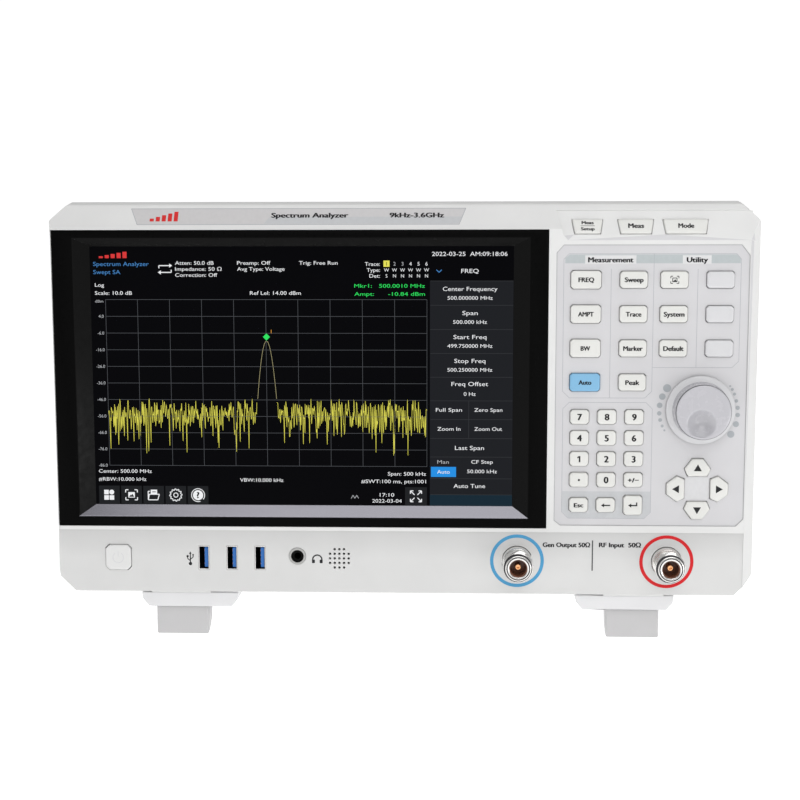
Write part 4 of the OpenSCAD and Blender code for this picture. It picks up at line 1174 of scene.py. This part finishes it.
def make_menu(shape):
    """Panels and dividing lines of the menu at the right."""
    shape.use(LIT_MENU).box(182, 226.3, 6.3, 131.4, 0.005)
    shape.use(GLASS_BLACK).box(182, 226.3, 121.4, 131.4, 0.01)
    shape.use(LIT_MENU_BLUE).box(182, 226.3, 0.1, 6.1, 0.01)
    shape.use(LIT_SEAM)
    for z in MENU_SEAMS:
        shape.box(182.2, 226.2, z - 0.12, z + 0.12, 0.02)
    shape.box(202.7, 202.95, 37, 57.2, 0.02)
    shape.use(LIT_BOX).box(182.6, 196.1, 15.9, 21.4, 0.01)
    shape.use(LIT_BLUE).path([(185.4, 127.3), (186.8, 126.0), (188.2, 127.3)], 0.45)


def make_grid(shape):
    for i in range(11):
        x, z = 8 + 17.24 * i, 21.5 + 9 * i
        shape.use(LIT_GRID).path([(x, 21.5), (x, 111.5)], 0.2)
        shape.path([(8, z), (180.4, z)], 0.2)
    for i in range(10):
        shape.use(LIT_DIM).text(f"{4.0 - 10 * i:.1f}", 6.8, 111.5 - 9 * (i + 1), 1.6, None, "right")


def peak_height(x):
    """Filter-shaped line of the one signal."""
    return 89.3 - 1.2 * (x - PEAK_X) ** 2


def draw_trace(shape, chance):
    """Receiver noise on a decibel scale, broken by the signal."""
    count = 760
    noise = []
    for i in range(count + 1):
        x = 8 + 172.4 * i / count
        level = 51 + 10.5 * math.log10(max(0.001, chance.expovariate(1)))
        noise.append((x, max(27.5, min(58, level))))
    shape.use(LIT_YELLOW)
    shape.path([p for p in noise if p[0] < PEAK_X and p[1] > peak_height(p[0])], TRACE_W)
    shape.path([p for p in noise if p[0] > PEAK_X and p[1] > peak_height(p[0])], TRACE_W)
    peak = [PEAK_X + 5.1 * i / 16 for i in range(-16, 17)]
    shape.use(LIT_SIGNAL).path([(x, peak_height(x)) for x in peak], TRACE_W)
    shape.use(LIT_GREEN).flat(circle(PEAK_X, 91.5, 1.9, 4), 0.05)


def make_trace_table(shape):
    """Numbers, types and detectors of the six traces."""
    for i in range(6):
        x = 158.9 + 4.25 * i
        if i == 0:
            shape.use(LIT_YELLOW).box(x - 1.6, x + 1.6, 128.9, 132.2, 0.01)
        shape.use(GLASS_BLACK if i == 0 else LIT_DIM if i < 3 else LIT_WHITE)
        shape.text(str(i + 1), x, 130.5, SMALL)
        shape.use(LIT_WHITE).text("W", x, 127.2, 1.7)
        shape.text("N" if i else "S", x, 124.1, 1.7)


def make_sweep_mark(shape):
    """Two arrows that chase each other, for a continuous sweep."""
    shape.use(LIT_WHITE)
    shape.path([(37.2, 128.2), (37.2, 129.6), (43.2, 129.6)], 0.5)
    shape.path([(43.8, 127.4), (43.8, 126), (37.8, 126)], 0.5)
    shape.flat([(42.8, 128.5), (44.4, 129.6), (42.8, 130.7)])
    shape.flat([(38.2, 127.1), (36.6, 126), (38.2, 124.9)])


def tiles_icon(shape, x, z):
    for dx, dz in ((-2.85, -2.8), (0.05, -2.8), (-2.85, 0.2)):
        shape.box(x + dx, x + dx + 2.5, z + dz, z + dz + 2.5)
    shape.flat(circle(x + 1.3, z + 1.45, 1.35, 20))


def picture_icon(shape, x, z):
    brackets(shape, x, z, 3.2, 2.8, 1.5, 0.5)
    shape.box(x - 1.8, x + 1.8, z - 1.5, z + 1.5, 0.02)
    mountain = [(-1.4, -1.1), (1.4, -1.1), (0.5, 0.6), (-0.1, -0.3), (-0.5, 0.1)]
    shape.use(GLASS_BLACK).flat([(x + dx, z + dz) for dx, dz in mountain], PRINT_T, 0.01)


def folder_icon(shape, x, z):
    folder = [(-2, 2), (-3, 2), (-3, -2.7), (2.2, -2.7), (3.1, 0.4), (-2.4, 0.4), (-3, -2.6)]
    shape.path([(x + dx, z + dz) for dx, dz in folder], 0.5)
    shape.box(x - 1.6, x + 1.9, z + 0.5, z + 2.9, 0.02)
    shape.use(GLASS_BLACK).box(x - 0.8, x + 1.2, z + 1.5, z + 1.9, 0.04)


def gear_icon(shape, x, z):
    radii = [3.4 if i % 4 < 2 else 2.75 for i in range(48)]
    gear = [(x + r * math.cos(a), z + r * math.sin(a)) for r, a in zip(radii, angles_of(48))]
    hole = circle(x, z, 1.2, 12)
    shape.path(gear + gear[:1], 0.45)
    shape.path(hole + hole[:1], 0.45)


def help_icon(shape, x, z):
    shape.arc(x, z, 3.6, -40, 290, 0.4)
    shape.flat(circle(x, z, 2.8, 28), 0.02)
    shape.use(GLASS_BLACK).text("?", x, z, 3.2, bold=KEY_BOLD, lift=0.01)


def full_screen_icon(shape, x, z):
    brackets(shape, x, z, 3, 3, 1.6, 0.5)
    for side, rise in SIGNS:
        shape.path([(x + side * 0.8, z + rise * 0.8), (x + side * 3, z + rise * 3)], 0.5)


def make_screen_icons(shape):
    """Tiles along the lower edge, each with its icon."""
    tile, low, high = 11.3, 0.3, 10.2
    for i, icon in enumerate((tiles_icon, picture_icon, folder_icon, gear_icon, help_icon)):
        x = 1.7 + 12.15 * i
        shape.use(LIT_TILE).box(x, x + tile, low, high, 0.01)
        icon(shape.use(LIT_WHITE), x + tile / 2, 5.2)
    shape.use(LIT_TILE).box(168.6, 180.4, low, high, 0.01)
    full_screen_icon(shape.use(LIT_WHITE), 174.5, 5.2)
    shape.use(LIT_DIM).path([(139.4, 3.9), (140.4, 5.6), (141.4, 3.9), (142.4, 5.6), (143.4, 3.9)], 0.3)


def make_screen():
    shape = Shape()
    make_menu(shape)
    make_grid(shape)
    write_lines(shape)
    make_trace_table(shape)
    make_sweep_mark(shape)
    signal_bars(shape.use(INK_RED), 5, 133.6, 3.4)
    draw_trace(shape, random.Random(12))
    make_screen_icons(shape)
    shape.build("screen_picture", place=SCREEN, slot="display")


# ---- CAD nodes that keep their own shape ----

DRESS = {
    "touch_glass": GLASS_BLACK, "lcd_panel": SHEET, "keypad_mat": RUBBER, "key_board": BOARD,
    "encoder": STEEL, "chassis": SHEET, "main_board": BOARD, "shield_cans": STEEL, "power_supply": SUPPLY,
    "fan_frame": DARK_PLASTIC, "fan_rotor": DARK_PLASTIC,
}


def dress_nodes():
    for node, material in DRESS.items():
        piece = frame["nodes"][node]
        if not piece.material_slots:
            piece.data.materials.append(material)
        for slot in piece.material_slots:
            slot.material = material


# ---- Floor, light and camera ----

FLOOR_HALF = 60
WORLD_LIGHT = 0.46
# Place, point aimed at, width, height and power of each soft light
LIGHTS = [
    ((0.3, -0.58, 1.4), (0.05, 0, 0.1), 1.5, 0.9, 5),
    ((0.1, -1.6, 1.3), (0, 0, 0.1), 1.4, 0.8, 7),
    ((0.48, -0.5, 0.06), (0.12, 0, 0.05), 0.25, 0.12, 0.27),
]


def make_floor():
    material = new_material("studio_floor", (0.90, 0.90, 0.90), 0.9, specular=0.1)
    vary_colour(material, (0.90, 0.90, 0.90), (0.89, 0.89, 0.89), 3)
    surface(material, {"Emission Color": (1, 1, 1, 1), "Emission Strength": 0.6})
    mesh = bpy.data.meshes.new("studio_floor")
    corners = rectangle(-FLOOR_HALF, FLOOR_HALF, -FLOOR_HALF, FLOOR_HALF)
    mesh.from_pydata([(x, y, 0) for x, y in corners], [], [(0, 1, 2, 3)])
    mesh.materials.append(material)
    put("studio_floor", mesh)


def make_world():
    """White room, brightest at the horizon so that the floor has no visible end."""
    world = bpy.data.worlds.new("studio")
    world.use_nodes = True
    tree = world.node_tree
    place = add_node(tree, "ShaderNodeTexCoord", {}).outputs["Generated"]
    split = add_node(tree, "ShaderNodeSeparateXYZ", {"Vector": place})
    strength = spread(tree, split.outputs["Z"], 1.0, WORLD_LIGHT, 0.12, 0.22)
    connect(tree, tree.nodes["Background"], {"Strength": strength, "Color": (1, 1, 1, 1)})
    bpy.context.scene.world = world


def make_lights():
    for i, (place, target, width, height, power) in enumerate(LIGHTS):
        data = bpy.data.lights.new(f"softbox_{i}", "AREA")
        data.shape = "RECTANGLE"
        data.size, data.size_y, data.energy = width, height, power
        light = put(f"softbox_{i}", data)
        light.location = place
        light.rotation_euler = (Vector(target) - Vector(place)).to_track_quat("-Z", "Y").to_euler()


CAMERA_PLACE = (0.0287, -0.8036, 0.3438)
CAMERA_PITCH, CAMERA_YAW, CAMERA_ROLL = -15.85, -2.25, -0.45
CAMERA_LENS = 66.06


def make_camera():
    pitch, yaw, roll = (math.radians(a) for a in (CAMERA_PITCH, CAMERA_YAW, CAMERA_ROLL))
    data = bpy.data.cameras.new("photo_camera")
    data.lens = CAMERA_LENS
    data.sensor_width = 36
    data.clip_end = 200
    camera = put("photo_camera", data)
    turn = (
        Matrix.Rotation(-yaw, 4, "Z")
        @ Matrix.Rotation(math.pi / 2 + pitch, 4, "X")
        @ Matrix.Rotation(roll, 4, "Z")
    )
    camera.matrix_world = Matrix.Translation(CAMERA_PLACE) @ turn
    bpy.context.scene.camera = camera


make_camera()
make_floor()
make_world()
make_lights()
bpy.context.scene.view_settings.view_transform = "Standard"
dress_nodes()
make_casing()
make_flat_keys()
make_arrow_keys()
make_upper_keys()
make_knob()
make_power_button()
make_front_sockets()
make_rear()
make_name_plate()
make_section_prints()
make_strip_prints()
make_screen()
